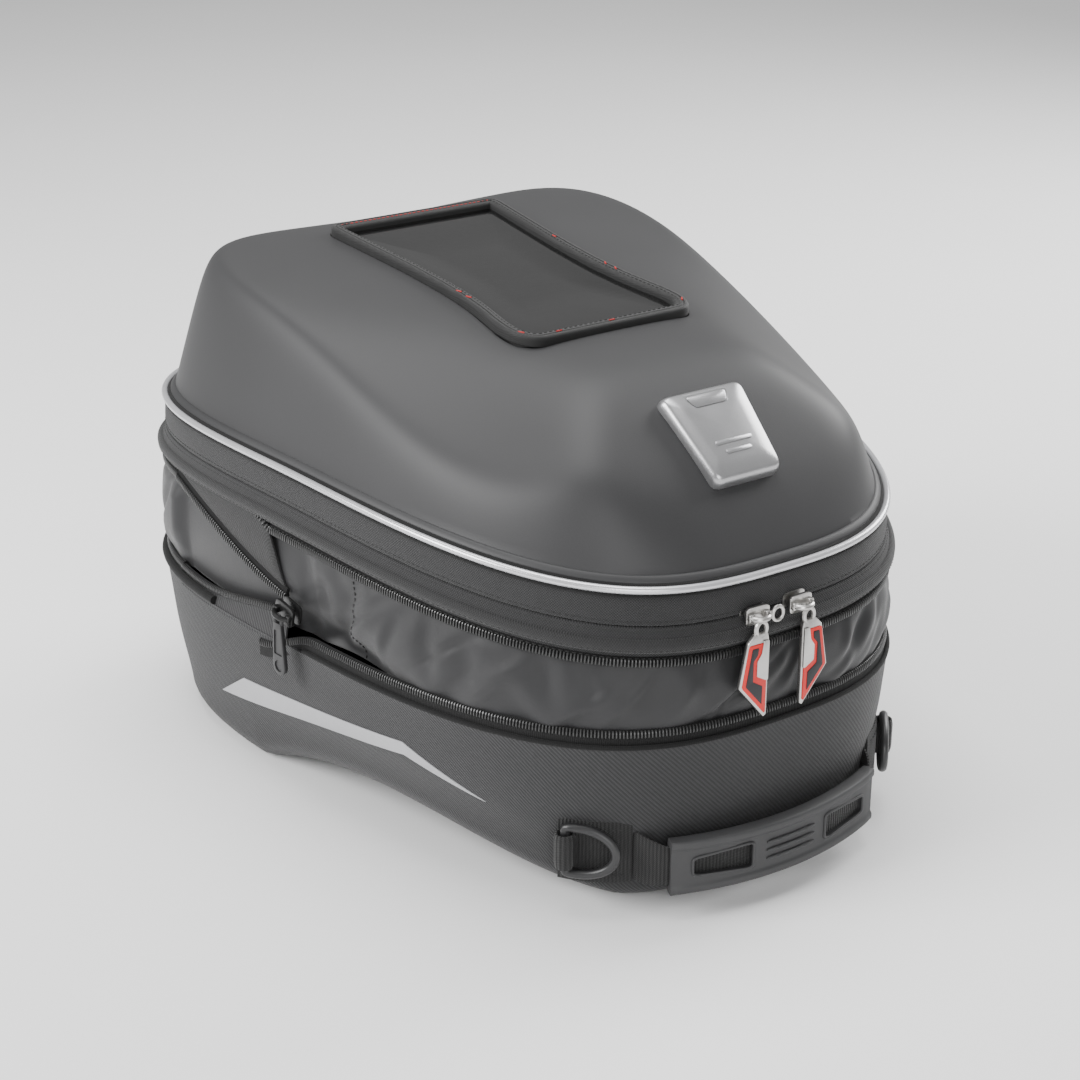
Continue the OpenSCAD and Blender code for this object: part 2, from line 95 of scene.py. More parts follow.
def outline(t):
    a = np.radians(np.asarray(t, float))
    c, s = np.cos(a), np.sin(a)
    e = np.where(s > 0, CORNER_BACK, CORNER_FRONT)
    yy = np.sign(s) * np.abs(s) ** (2 / e)
    xx = np.sign(c) * np.abs(c) ** (2 / e)
    w = SEAM_W / 2 * (1 - TAPER * (1 - yy) / 2 + BULGE * (1 - yy) ** 2 / 4)
    return np.stack([xx * w, yy * HALF_L], -1)


def normal_at(t):
    t = np.asarray(t, float)
    d = outline(t + 1) - outline(t - 1)
    d /= np.linalg.norm(d, axis=-1, keepdims=True)
    return np.stack([d[..., 1], -d[..., 0]], -1)


def wall(t, off):
    return outline(t) + np.asarray(off, float)[..., None] * normal_at(t)


def left_t(y):
    """Outline angle of a point of the left flank."""
    e = CORNER_BACK if y > 0 else CORNER_FRONT
    return 180 - math.copysign(1, y) * math.degrees(math.asin((abs(y) / HALF_L) ** (e / 2)))


def seam_z(y):
    return 171.6 + 0.036 * y - 0.00024 * y * y


def smooth(u):
    c = np.clip(u, 0, 1)
    return c * c * (3 - 2 * c)


def arch(y):
    u = np.minimum(1, np.abs(y - DOCK_Y) / ARCH_HALF)
    return ARCH_H * (1 - u**6) ** 2


def edge_arch(y):
    """Height of the base along the flanks, where the arch runs out more softly."""
    return EDGE_ARCH_H * (1 - np.minimum(1, np.abs(y - DOCK_Y) / EDGE_ARCH_HALF) ** 2)


def wall_off(z):
    return FOOT_OFF + (RIM_OFF - FOOT_OFF) * (z - FOOT_Z) / (RIM_Z - FOOT_Z)


def flank_off(ts, z):
    """How far the lower body's wall stands outside the seam outline, with its soft ripples."""
    foot = edge_arch(outline(ts)[:, 1]) + 14
    share = (z - foot) / (RIM_Z - foot)
    off = wall_off(z) - (wall_off(foot) - FOOT_OFF) * (1 - smooth((z - foot) / 24))
    ripple = 0.4 * np.sin(arc_of(ts) / 31 + share * 3) * np.sin(share * math.pi)
    belly = 1.1 * np.sin(math.pi * share) ** 2 * smooth((z - foot) / 20)
    return off + ripple + belly


def soft_min(values, k):
    m = np.minimum.reduce(values)
    return m - k * np.log(sum(np.exp((m - v) / k) for v in values))


def lid_top(x, y):
    crown = CROWN_Z + CROWN_SLOPE * y
    nose = 219.6 + NOSE_SLOPE * (y + 124)
    edge = 70 + 0.19 * y + 5.2 * (y / 100) ** 2
    shoulder = crown + 2.6 + 0.073 * y - (0.31 - 0.0032 * y) * (np.abs(x) - edge)
    return soft_min([crown, nose, shoulder], 5.5)


def lid_point(t, r, inset, drop):
    """Point of the lid, share r of the way from its middle to its foot at angle t."""
    n = normal_at(t)
    foot = wall(t, -inset + np.zeros_like(t))
    mid = np.array([0.0, -10.0])
    p = mid + r[..., None] * (foot - mid)
    depth = ((foot - p) * n).sum(-1)
    pull = np.where(n[..., 1] > 0, 2.2, 2.22)
    lean = 4.15 - pull * n[..., 1] ** 2
    rise = seam_z(foot[..., 1]) + 3 + drop + lean * (1 - 0.08 * foot[..., 1] / HALF_L) * depth
    top = soft_min([lid_top(p[..., 0], p[..., 1]), rise], 10.9)
    z = np.where(r >= 1, rise, np.minimum(top, rise)) - drop
    return np.stack([p[..., 0], p[..., 1], z], -1)


DENSE_T = np.linspace(0, 360, 3601)
_steps = np.linalg.norm(np.diff(outline(DENSE_T), axis=0), axis=1)
DENSE_S = np.concatenate([[0], np.cumsum(_steps)])
GIRTH = DENSE_S[-1]


def arc_of(t):
    return GIRTH * np.floor(t / 360) + np.interp(np.mod(t, 360), DENSE_T, DENSE_S)


def angle_of(s):
    return 360 * np.floor(s / GIRTH) + np.interp(np.mod(s, GIRTH), DENSE_S, DENSE_T)


def even_angles(n, t0=0.0, t1=360.0):
    """n angles evenly spaced along the outline. A full turn leaves out the last one."""
    full = abs(t1 - t0 - 360) < 1e-9
    return angle_of(np.linspace(arc_of(t0), arc_of(t1), n, endpoint=not full))


def spaced_angles(pitch, t0, t1):
    return even_angles(int(abs(arc_of(t1) - arc_of(t0)) / pitch), t0, t1)


# ---- mesh helpers ----

def finish_object(name, mesh, material, body=None, replaces=(), sharp=40):
    obj = bpy.data.objects.new(name, mesh)
    bpy.context.scene.collection.objects.link(obj)
    mesh.materials.append(material)
    mesh.polygons.foreach_set("use_smooth", [True] * len(mesh.polygons))
    mesh.set_sharp_from_angle(angle=math.radians(sharp))
    if body:
        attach(obj, body)
    if replaces:
        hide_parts(*replaces)
    return obj


def new_mesh(points, faces):
    mesh = bpy.data.meshes.new("mesh")
    mesh.from_pydata((np.asarray(points, float).reshape(-1, 3) * MM).tolist(), [], faces)
    return mesh


def close_ends(mesh):
    """Fill the open ends of a loft."""
    bm = bmesh.new()
    bm.from_mesh(mesh)
    bmesh.ops.holes_fill(bm, edges=[e for e in bm.edges if e.is_boundary], sides=0)
    bmesh.ops.recalc_face_normals(bm, faces=bm.faces)
    bm.to_mesh(mesh)
    bm.free()


def outward(mesh):
    bm = bmesh.new()
    bm.from_mesh(mesh)
    bmesh.ops.recalc_face_normals(bm, faces=bm.faces)
    bm.to_mesh(mesh)
    bm.free()


def grid_mesh(pts, ring_u=False, ring_v=False, caps=False, u=None, v=None):
    """Mesh of a grid of points, with a UV map in metres along and across it."""
    nu, nv = pts.shape[:2]
    i, j = np.meshgrid(
        np.arange(nu if ring_u else nu - 1), np.arange(nv if ring_v else nv - 1), indexing="ij"
    )
    i, j = i.ravel(), j.ravel()
    i2, j2 = (i + 1) % nu, (j + 1) % nv
    faces = np.stack([i * nv + j, i2 * nv + j, i2 * nv + j2, i * nv + j2], -1)
    face_list = faces.tolist()
    if u is None:
        step = np.linalg.norm(np.diff(pts.mean(1), axis=0), axis=-1)
        u = np.concatenate([[0], np.cumsum(step)])
    if v is None:
        step = np.linalg.norm(np.diff(pts.mean(0), axis=0), axis=-1)
        v = np.concatenate([[0], np.cumsum(step)])
    u_end = np.append(u[1:], u[-1] + np.linalg.norm(pts[0].mean(0) - pts[-1].mean(0)))
    v_end = np.append(v[1:], v[-1] + np.linalg.norm(pts[:, 0].mean(0) - pts[:, -1].mean(0)))
    uv = np.stack([
        np.stack([u[i], v[j]], -1), np.stack([u_end[i], v[j]], -1),
        np.stack([u_end[i], v_end[j]], -1), np.stack([u[i], v_end[j]], -1)], 1)
    uv_rows = uv.reshape(-1, 2)
    if caps:
        face_list.append(list(range(nv - 1, -1, -1)))
        face_list.append([(nu - 1) * nv + k for k in range(nv)])
        uv_rows = np.concatenate([uv_rows, np.zeros((2 * nv, 2))])
    mesh = new_mesh(pts, face_list)
    layer = mesh.uv_layers.new(name="UVMap")
    layer.data.foreach_set("uv", (uv_rows * MM).astype(np.float32).ravel())
    outward(mesh)
    return mesh


def rounded(profile, radius, n=4):
    """Closed polygon with each corner cut by a curve of n points."""
    pts = np.asarray(profile, float)
    out = []
    for k, p in enumerate(pts):
        a, b = pts[k - 1] - p, pts[(k + 1) % len(pts)] - p
        la, lb = np.linalg.norm(a), np.linalg.norm(b)
        r = min(radius, 0.45 * la, 0.45 * lb)
        pa, pb = p + a / la * r, p + b / lb * r
        for q in np.linspace(0, 1, n):
            out.append((1 - q) ** 2 * pa + 2 * q * (1 - q) * p + q * q * pb)
    return np.array(out)


def sweep(ts, base, profile, ring=True):
    """Closed profile of [offset, height] carried round the outline, base high at each angle."""
    prof = np.asarray(profile, float)
    if prof.ndim == 2:
        prof = np.repeat(prof[None], len(ts), 0)
    tt = np.repeat(ts[:, None], prof.shape[1], 1)
    xy = wall(tt, prof[..., 0])
    z = np.asarray(base, float)[:, None] + prof[..., 1]
    pts = np.concatenate([xy, z[..., None]], -1)
    return grid_mesh(pts, ring_u=ring, ring_v=True, caps=not ring)


def on(xy, z):
    """Points over plan positions xy at heights z."""
    return np.concatenate([xy, np.broadcast_to(z, xy.shape[:-1])[..., None]], -1)


def out_at(ts):
    """Outward directions of the outline, in space."""
    return on(normal_at(ts), 0)


def seam_base(ts):
    return seam_z(outline(ts)[:, 1])


def instances(verts, faces, origins, ax, ay, az):
    """One mesh of the same small shape set at each origin, along the given axes."""
    v = np.asarray(verts, float)
    pts = (origins[:, None] + v[None, :, 0, None] * ax[:, None]
           + v[None, :, 1, None] * ay[:, None] + v[None, :, 2, None] * az[:, None])
    n = len(v)
    all_faces = [[k * n + q for q in f] for k in range(len(origins)) for f in faces]
    mesh = new_mesh(pts, all_faces)
    outward(mesh)
    return mesh


def axes_along(path):
    d = np.gradient(path, axis=0)
    return d / np.linalg.norm(d, axis=1, keepdims=True)


def unit(v):
    return v / np.linalg.norm(v, axis=-1, keepdims=True)


def resample(path, pitch):
    path = np.asarray(path, float)
    s = np.concatenate([[0], np.cumsum(np.linalg.norm(np.diff(path, axis=0), axis=1))])
    q = np.linspace(0, s[-1], max(2, int(s[-1] / pitch) + 1))
    return np.stack([np.interp(q, s, path[:, k]) for k in range(3)], -1)


def tooth_shape(pitch, tall, deep):
    """Coil element: a rounded bar across the row, thinner at its two ends."""
    stations = [(-0.5, 0.45), (-0.3, 0.95), (0.3, 0.95), (0.5, 0.45)]
    verts = []
    for h, k in stations:
        for a in (-90, -30, 30, 90):
            r = math.radians(a)
            verts.append((0.4 * pitch * math.sin(r), deep * k * math.cos(r), tall * h))
    faces = []
    for s in range(len(stations) - 1):
        for c in range(4):
            a, b = s * 4 + c, s * 4 + (c + 1) % 4
            faces.append([a, b, b + 4, a + 4])
    faces += [[3, 2, 1, 0], [12, 13, 14, 15]]
    return verts, faces


def teeth(path, out, pitch=1.5, tall=3.6, deep=1.3):
    along = axes_along(path)
    up = unit(np.cross(along, out))
    out = unit(np.cross(up, along))
    verts, faces = tooth_shape(pitch, tall, deep)
    return instances(verts, faces, path, along, out, up)


def stitch_shape(length, r):
    verts, faces = [], []
    for x, k in ((-0.5, 0.3), (-0.32, 1), (0.32, 1), (0.5, 0.3)):
        for a in range(5):
            b = math.radians(72 * a)
            verts.append((length * x, r * k * math.cos(b), r * k * math.sin(b)))
    for s in range(3):
        for c in range(5):
            a, b = s * 5 + c, s * 5 + (c + 1) % 5
            faces.append([a, b, b + 5, a + 5])
    faces += [[4, 3, 2, 1, 0], [15, 16, 17, 18, 19]]
    return verts, faces


def stitches(path, out, length=2.3, gap=1.1, r=0.3):
    """Row of raised stitches along a path, lying on the surface."""
    fine = resample(path, length + gap)
    out = np.stack([np.interp(np.linspace(0, 1, len(fine)), np.linspace(0, 1, len(path)), out[:, k])
                    for k in range(3)], -1)
    along = axes_along(fine)
    side = unit(np.cross(along, out))
    out = unit(np.cross(side, along))
    verts, faces = stitch_shape(length, r)
    return instances(verts, faces, fine, along, out, side)


def seam_path(ts, off, dz, base=None):
    xy = wall(ts, off + np.zeros_like(ts))
    z = (seam_base(ts) if base is None else base + np.zeros_like(ts)) + dz
    n = normal_at(ts)
    return on(xy, z), on(n, 0)


def tube_mesh(path, r, sides=10, ring=False, flat=1.0, up=(0, 0, 1)):
    """Round or flattened tube along a path; flat is its thickness across up."""
    path = np.asarray(path, float)
    d = np.roll(path, -1, 0) - np.roll(path, 1, 0) if ring else np.gradient(path, axis=0)
    d = unit(d)
    side = unit(np.cross(d, np.array(up, float) + np.zeros_like(d)))
    top = unit(np.cross(side, d))
    a = np.linspace(0, 2 * math.pi, sides, endpoint=False)
    r = np.asarray(r, float) + np.zeros(len(path))
    pts = (path[:, None] + (r[:, None] * np.cos(a))[..., None] * side[:, None] * flat
           + (r[:, None] * np.sin(a))[..., None] * top[:, None])
    return grid_mesh(pts, ring_u=ring, ring_v=True, caps=not ring)


def prism(outline_pts, z0, z1, bevel=0.0, matrix=None, segments=2):
    """Flat polygon made solid between two heights, with bevelled edges."""
    bm = bmesh.new()
    low = [bm.verts.new((x * MM, y * MM, z0 * MM)) for x, y in outline_pts]
    face = bm.faces.new(low)
    top = bmesh.ops.extrude_face_region(bm, geom=[face])
    moved = [v for v in top["geom"] if isinstance(v, bmesh.types.BMVert)]
    bmesh.ops.translate(bm, vec=(0, 0, (z1 - z0) * MM), verts=moved)
    bmesh.ops.recalc_face_normals(bm, faces=bm.faces)
    if bevel:
        bmesh.ops.bevel(bm, geom=list(bm.edges), offset=bevel * MM, segments=segments,
                        profile=0.5, affect="EDGES", clamp_overlap=True)
    if matrix is not None:
        bm.transform(matrix)
        bmesh.ops.recalc_face_normals(bm, faces=bm.faces)
    mesh = bpy.data.meshes.new("mesh")
    bm.to_mesh(mesh)
    bm.free()
    return mesh


def joined(meshes):
    bm = bmesh.new()
    for m in meshes:
        bm.from_mesh(m)
    mesh = bpy.data.meshes.new("mesh")
    bm.to_mesh(mesh)
    bm.free()
    return mesh


def cut(mesh, cutters, operation="DIFFERENCE"):
    """mesh with each cutter taken away."""
    host = bpy.data.objects.new("cut_host", mesh)
    bpy.context.scene.collection.objects.link(host)
    helpers = []
    for k, cutter in enumerate(cutters):
        tool = bpy.data.objects.new(f"cutter_{k}", cutter)
        bpy.context.scene.collection.objects.link(tool)
        mod = host.modifiers.new(f"cut_{k}", "BOOLEAN")
        mod.operation, mod.solver, mod.object = operation, "EXACT", tool
        helpers.append(tool)
    dg = bpy.context.evaluated_depsgraph_get()
    result = bpy.data.meshes.new_from_object(host.evaluated_get(dg))
    for tool in helpers + [host]:
        bpy.data.objects.remove(tool)
    return result


def frame_matrix(origin, x, y, z):
    """Matrix that takes local metres to the row frame; origin in mm."""
    m = Matrix([[*row] for row in np.stack([x, y, z], 1).tolist()]).to_4x4()
    m.translation = Vector(np.asarray(origin, float) * MM)
    return m


# ---- materials ----

class Nodes:
    """Small helper that adds and links shader nodes."""

    def __init__(self, name):
        self.material = bpy.data.materials.new(name)
        self.material.use_nodes = True
        self.tree = self.material.node_tree
        self.shader = self.tree.nodes["Principled BSDF"]

    def add(self, kind, inputs=None, **props):
        node = self.tree.nodes.new(kind)
        for key, value in props.items():
            setattr(node, key, value)
        for key, value in (inputs or {}).items():
            if isinstance(value, bpy.types.NodeSocket):
                self.tree.links.new(value, node.inputs[key])
            else:
                node.inputs[key].default_value = value
        return node

    def math(self, operation, a, b=0.0):
        return self.add("ShaderNodeMath", {0: a, 1: b}, operation=operation).outputs[0]

    def wave(self, coordinate, period):
        scaled = self.math("MULTIPLY", coordinate, 2 * math.pi / (period * MM))
        return self.math("SINE", scaled)

    def noise(self, vector, scale, detail=2.0, rough=0.5):
        inputs = {"Vector": vector, "Scale": scale, "Detail": detail, "Roughness": rough}
        return self.add("ShaderNodeTexNoise", inputs).outputs[0]

    def coordinates(self, use_uv):
        return self.add("ShaderNodeTexCoord").outputs["UV" if use_uv else "Object"]

    def colour(self, factor, dark, light):
        mix = self.add("ShaderNodeMix", data_type="RGBA")
        self.tree.links.new(factor, mix.inputs[0])
        mix.inputs[6].default_value = (*dark, 1)
        mix.inputs[7].default_value = (*light, 1)
        self.tree.links.new(mix.outputs[2], self.shader.inputs["Base Color"])

    def roughness(self, factor, low, high):
        span = self.add("ShaderNodeMapRange", {0: factor, 3: low, 4: high})
        self.tree.links.new(span.outputs[0], self.shader.inputs["Roughness"])

    def bump(self, height, distance, strength=1.0, below=None):
        inputs = {"Height": height, "Distance": distance * MM, "Strength": strength}
        node = self.add("ShaderNodeBump", inputs)
        if below is not None:
            self.tree.links.new(below, node.inputs["Normal"])
        self.tree.links.new(node.outputs[0], self.shader.inputs["Normal"])
        return node.outputs[0]

    def set(self, **values):
        for key, value in values.items():
            self.shader.inputs[key.replace("_", " ")].default_value = value
        return self.material


def woven(name, dark, light, pitch, style="plain", rough=(0.75, 0.95), depth=0.25, sheen=0.15,
          use_uv=True):
    """Cloth woven at a pitch in mm: plain, twill or warp-ribbed."""
    n = Nodes(name)
    at = n.coordinates(use_uv)
    parts = n.add("ShaderNodeSeparateXYZ", {0: at})
    u, v = parts.outputs[0], parts.outputs[1 if use_uv else 2]
    wobble = n.math("MULTIPLY", n.noise(at, 90, 2), 0.0004)
    if style == "twill":
        slant = n.math("ADD", n.math("ADD", u, n.math("MULTIPLY", v, 0.9)), wobble)
        ridge = n.wave(slant, pitch)
        fine = n.math("MULTIPLY", n.wave(u, pitch * 0.45), n.wave(v, pitch * 0.45))
        pattern = n.math("ADD", n.math("MULTIPLY", ridge, 0.6), n.math("MULTIPLY", fine, 0.4))
    elif style == "rib":
        ridge = n.wave(u, pitch)
        pick = n.wave(n.math("ADD", v, n.math("MULTIPLY", u, 0.5)), pitch * 0.5)
        pattern = n.math("ADD", n.math("MULTIPLY", ridge, 0.7), n.math("MULTIPLY", pick, 0.3))
    else:
        pattern = n.math("MULTIPLY", n.wave(n.math("ADD", u, wobble), pitch), n.wave(v, pitch))
    blotch = n.noise(at, 260, 3, 0.6)
    height = n.math("ADD", n.math("MULTIPLY", pattern, 0.5), n.math("MULTIPLY", blotch, 0.5))
    shade = n.add("ShaderNodeMapRange", {0: height, 1: -0.35, 2: 0.85})
    n.colour(shade.outputs[0], dark, light)
    n.roughness(blotch, *rough)
    n.bump(height, depth, 0.8)
    return n.set(Sheen_Weight=sheen, Sheen_Roughness=0.5, Specular_IOR_Level=0.3)


def moulded(name, dark, light, grain=900, rough=(0.4, 0.55), depth=0.06, coat=0.0, metal=0.0,
            wear=9.0, specular=0.5):
    """Moulded or cast surface with a fine grain and soft cloudy variation."""
    n = Nodes(name)
    at = n.coordinates(False)
    cloud = n.noise(at, wear, 4, 0.6)
    fine = n.noise(at, grain, 2, 0.6)
    shade = n.math("ADD", n.math("MULTIPLY", cloud, 0.7), n.math("MULTIPLY", fine, 0.3))
    span = n.add("ShaderNodeMapRange", {0: shade, 1: 0.3, 2: 0.7})
    n.colour(span.outputs[0], dark, light)
    n.roughness(cloud, *rough)
    n.bump(fine, depth, 0.5)
    return n.set(Coat_Weight=coat, Metallic=metal, Specular_IOR_Level=specular)


def grey(v, blue=0.0):
    return (v, v, v * (1 + blue))


def nylon(name):
    """Thin coated nylon: fine square grid and soft gloss."""
    n = Nodes(name)
    at = n.coordinates(True)
    parts = n.add("ShaderNodeSeparateXYZ", {0: at})
    cross = n.math("MULTIPLY", n.wave(parts.outputs[0], 0.5), n.wave(parts.outputs[1], 0.5))
    grain = n.noise(at, 500, 3, 0.6)
    cloud = n.noise(at, 25, 3, 0.5)
    crease = n.noise(at, 60, 4, 0.55)
    n.colour(cloud, grey(0.006, 0.08), grey(0.014, 0.12))
    n.roughness(cloud, 0.46, 0.6)
    low = n.bump(crease, 0.8, 0.25)
    n.bump(n.math("ADD", n.math("MULTIPLY", cross, 0.4), grain), 0.05, 0.5, below=low)
    return n.set(Specular_IOR_Level=0.45, Sheen_Weight=0.15)


def brushed(name, dark, light, rough=(0.22, 0.38)):
    """Plated metal with faint brush lines."""
    n = Nodes(name)
    at = n.coordinates(False)
    stretch = n.add("ShaderNodeMapping", {0: at})
    stretch.inputs["Scale"].default_value = (60, 60, 2500)
    lines = n.noise(stretch.outputs[0], 1.0, 2)
    cloud = n.noise(at, 120, 3)
    n.colour(cloud, dark, light)
    n.roughness(lines, *rough)
    n.bump(lines, 0.01, 0.4)
    return n.set(Metallic=1.0)


def film(name):
    """Clear pocket window over a dark lining."""
    n = Nodes(name)
    at = n.coordinates(False)
    ripple = n.noise(at, 22, 2)
    n.colour(ripple, grey(0.002), grey(0.005))
    n.roughness(ripple, 0.05, 0.12)
    n.bump(ripple, 0.8, 0.35)
    return n.set(Alpha=0.6, Coat_Weight=0.6, Coat_Roughness=0.06, Specular_IOR_Level=0.6)


M = {
    "shell_cloth": woven("shell_cloth", grey(0.008, 0.03), grey(0.044, 0.04), 2.2, "twill",
                         rough=(0.6, 0.85), depth=0.35, sheen=0.12),
    "band_cloth": woven("band_cloth", grey(0.009, 0.02), grey(0.040, 0.03), 1.25, "plain",
                        rough=(0.75, 0.95), depth=0.35, sheen=0.15),
    "flap_cloth": woven("flap_cloth", grey(0.006), grey(0.030, 0.03), 1.25, "plain",
                        rough=(0.6, 0.85), depth=0.3, sheen=0.15),
    "tape": woven("tape", grey(0.003), grey(0.012), 0.9, "rib", depth=0.2, sheen=0.05),
    "webbing": woven("webbing", grey(0.003), grey(0.022), 1.7, "rib", rough=(0.6, 0.85), depth=0.6,
                     sheen=0.12),
    "lining": woven("lining", grey(0.004), grey(0.012), 0.9, "plain", use_uv=False, depth=0.15,
                    sheen=0.05),
    "lid_skin": moulded("lid_skin", grey(0.025, 0.04), grey(0.034, 0.04), grain=1500,
                        rough=(0.46, 0.58), depth=0.05, wear=6, specular=0.42),
    "nylon": nylon("nylon"),
    "binding": woven("binding", grey(0.002), grey(0.009), 0.8, "rib", depth=0.15, sheen=0.05),
    "silver_pipe": moulded("silver_pipe", grey(0.5, 0.03), grey(0.66, 0.03), grain=2500,
                           rough=(0.2, 0.32), depth=0.04, metal=0.6, wear=20),
    "reflective": woven("reflective", grey(0.34, 0.03), grey(0.46, 0.03), 0.5, "plain",
                        rough=(0.35, 0.5), depth=0.05, sheen=0.0),
    "teeth": moulded("teeth", grey(0.012), grey(0.034), grain=900, rough=(0.28, 0.4), depth=0.02,
                     specular=0.6),
    "thread": moulded("thread", grey(0.012), grey(0.024), grain=2500, rough=(0.7, 0.9), depth=0.05),
    "red_thread": moulded("red_thread", (0.30, 0.010, 0.010), (0.42, 0.02, 0.016), grain=2500,
                          rough=(0.6, 0.8), depth=0.05),
    "rubber": moulded("rubber", grey(0.026, 0.04), grey(0.038, 0.04), grain=1600, rough=(0.5, 0.64),
                      depth=0.08, wear=14),
    "ring_plastic": moulded("ring_plastic", grey(0.014, 0.04), grey(0.026, 0.04), grain=1500,
                            rough=(0.32, 0.46), depth=0.05, wear=30),
    "dark_plastic": moulded("dark_plastic", grey(0.008), grey(0.016), grain=1200, rough=(0.45, 0.6),
                            depth=0.08, wear=18),
    "black_slider": moulded("black_slider", grey(0.012), grey(0.03), grain=1500, rough=(0.22, 0.36),
                            depth=0.03, wear=60, metal=0.5),
    "satin_badge": moulded("satin_badge", grey(0.36, 0.02), grey(0.46, 0.02), grain=1800,
                           rough=(0.24, 0.34), depth=0.02, metal=0.85, wear=25),
    "nickel": brushed("nickel", (0.42, 0.41, 0.40), (0.60, 0.59, 0.57)),
    "steel": brushed("steel", grey(0.42), grey(0.56), rough=(0.3, 0.45)),
    "red_rubber": moulded("red_rubber", (0.50, 0.008, 0.006), (0.66, 0.016, 0.010), grain=1500,
                          rough=(0.4, 0.55), depth=0.04, wear=60),
    "dark_core": moulded("dark_core", grey(0.008, 0.2), grey(0.018, 0.2), grain=1400, rough=(0.5, 0.65),
                         depth=0.05, wear=40),
    "frame_cloth": woven("frame_cloth", grey(0.005), grey(0.018), 1.0, "plain", use_uv=False,
                         rough=(0.5, 0.7), depth=0.15, sheen=0.1),
    "film": film("film"),
}


# ---- lower shell ----

def lower_shell():
    ts = even_angles(480)
    rows = []
    foot_a = np.radians(np.linspace(0, 90, 9))
    base_xy = wall(ts, -18 + np.zeros_like(ts))

    def floor(share, up):
        p = share * base_xy
        edge = smooth((share - 0.55) / 0.43)
        z = arch(p[:, 1]) * (1 - edge) + edge_arch(p[:, 1]) * edge + up
        rows.append(on(p, z))

    def corner(inner, up):
        for a in foot_a if not inner else foot_a[::-1]:
            r = 14 - (SHELL_T if inner else 0)
            p = wall(ts, -18 + r * np.sin(a) + np.zeros_like(ts))
            z = edge_arch(p[:, 1]) + up + r * (1 - np.cos(a))
            rows.append(on(p, z))

    def wall_rows(inner):
        shares = np.linspace(0.03, 1, 26)
        for q in shares if not inner else shares[::-1]:
            foot = edge_arch(outline(ts)[:, 1]) + 14
            z = foot + q * (RIM_Z - foot)
            p = wall(ts, flank_off(ts, z) - (SHELL_T if inner else 0))
            rows.append(on(p, z))

    for share in np.linspace(0.03, 0.985, 34):
        floor(share, 0)
    corner(False, 0)
    wall_rows(False)
    wall_rows(True)
    corner(True, SHELL_T)
    for share in np.linspace(0.03, 0.985, 34)[::-1]:
        floor(share, SHELL_T)
    pts = np.stack(rows, 1)
    mesh = grid_mesh(pts, ring_u=True, u=arc_of(ts),
                     v=np.concatenate([[0], np.cumsum(np.median(
                         np.linalg.norm(np.diff(pts, axis=1), axis=2), axis=0))]))
    close_ends(mesh)
    return finish_object("lower_shell_cloth", mesh, M["shell_cloth"], "lower_body",
                         ["lower_shell"])


def circle_profile(off, z, r, n=12):
    return [(off + r * math.cos(2 * math.pi * k / n), z + r * math.sin(2 * math.pi * k / n))
            for k in range(n)]


def rim():
    """Bound edge of the lower body: stout behind the zip slider and a thin welt elsewhere."""
    t0, t1 = left_t(-12.0), 360 + left_t(62.0)
    ts = even_angles(520, t0, t1)
    stout = smooth((arc_of(ts) - arc_of(360 + 60.0)) / 60)
    a = np.linspace(0, 2 * math.pi, 14, endpoint=False)
    r = (1.15 + 1.05 * stout)[:, None]
    prof = np.stack([RIM_OFF - 0.5 + r * np.cos(a), 1.0 + 1.2 * stout[:, None] + r * np.sin(a)], -1)
    mesh = sweep(ts, np.full(len(ts), RIM_Z), prof, ring=False)
    finish_object("rim_piping", mesh, M["binding"], "lower_body", ["rim_binding"])


lower_shell()
rim()

# ---- gusset ----

GUSSET_LOW = RIM_Z + 5.5


def gusset_points(ts, shares):
    """Slack wall between the rim and the upper row, still without its creases."""
    t = np.repeat(ts[:, None], len(shares), 1)
    q = np.repeat(shares[None], len(ts), 0)
    y = outline(t)[..., 1]
    top = seam_z(y) - ROW_DEPTH - 1.5
    z = GUSSET_LOW + q * (top - GUSSET_LOW)
    s = arc_of(t)
    tuck = np.exp(-((s - arc_of(left_t(-38.0))) / 34) ** 2) * np.exp(-((q - 0.08) / 0.22) ** 2)
    lean = 1.0 + (0.2 - 1.0) * q
    bulge = 2.1 * np.sin(math.pi * q) + 0.5 * np.sin(s / 17) * np.sin(math.pi * q)
    off = lean + bulge - 8 * tuck - 2.9 * behind_tails(t)
    xy = wall(t, off)
    return np.concatenate([xy, z[..., None]], -1)


def behind_tails(ts):
    """1 where the closing rows lie over the gusset on the left flank, 0 elsewhere."""
    s = arc_of(ts)
    return smooth((s - arc_of(left_t(106.0))) / 10) * smooth((arc_of(left_t(-20.0)) - s) / 14)


def creases(ts, shares):
    """Diagonal folds of the slack nylon, set at random round the bag."""
    rng = np.random.default_rng(7)
    s = arc_of(ts)[:, None] + np.zeros((1, len(shares)))
    q = shares[None] + np.zeros((len(ts), 1))
    out = np.zeros_like(s)
    height = 45.0
    for _ in range(110):
        centre = rng.uniform(0, GIRTH)
        slant = rng.normal(0.75, 0.5)
        width = rng.uniform(2.6, 6.5)
        reach = rng.uniform(0.25, 0.6)
        mid = rng.uniform(0.15, 0.85)
        depth = rng.uniform(0.8, 2.6) * rng.choice([-1, 1], p=[0.6, 0.4])
        d = (s - centre + GIRTH / 2) % GIRTH - GIRTH / 2
        across = d - slant * (q - mid) * height
        out += depth * np.exp(-(across / width) ** 2) * np.exp(-((q - mid) / reach) ** 2)
    return out * np.sin(math.pi * np.clip(q, 0, 1)) ** 0.7


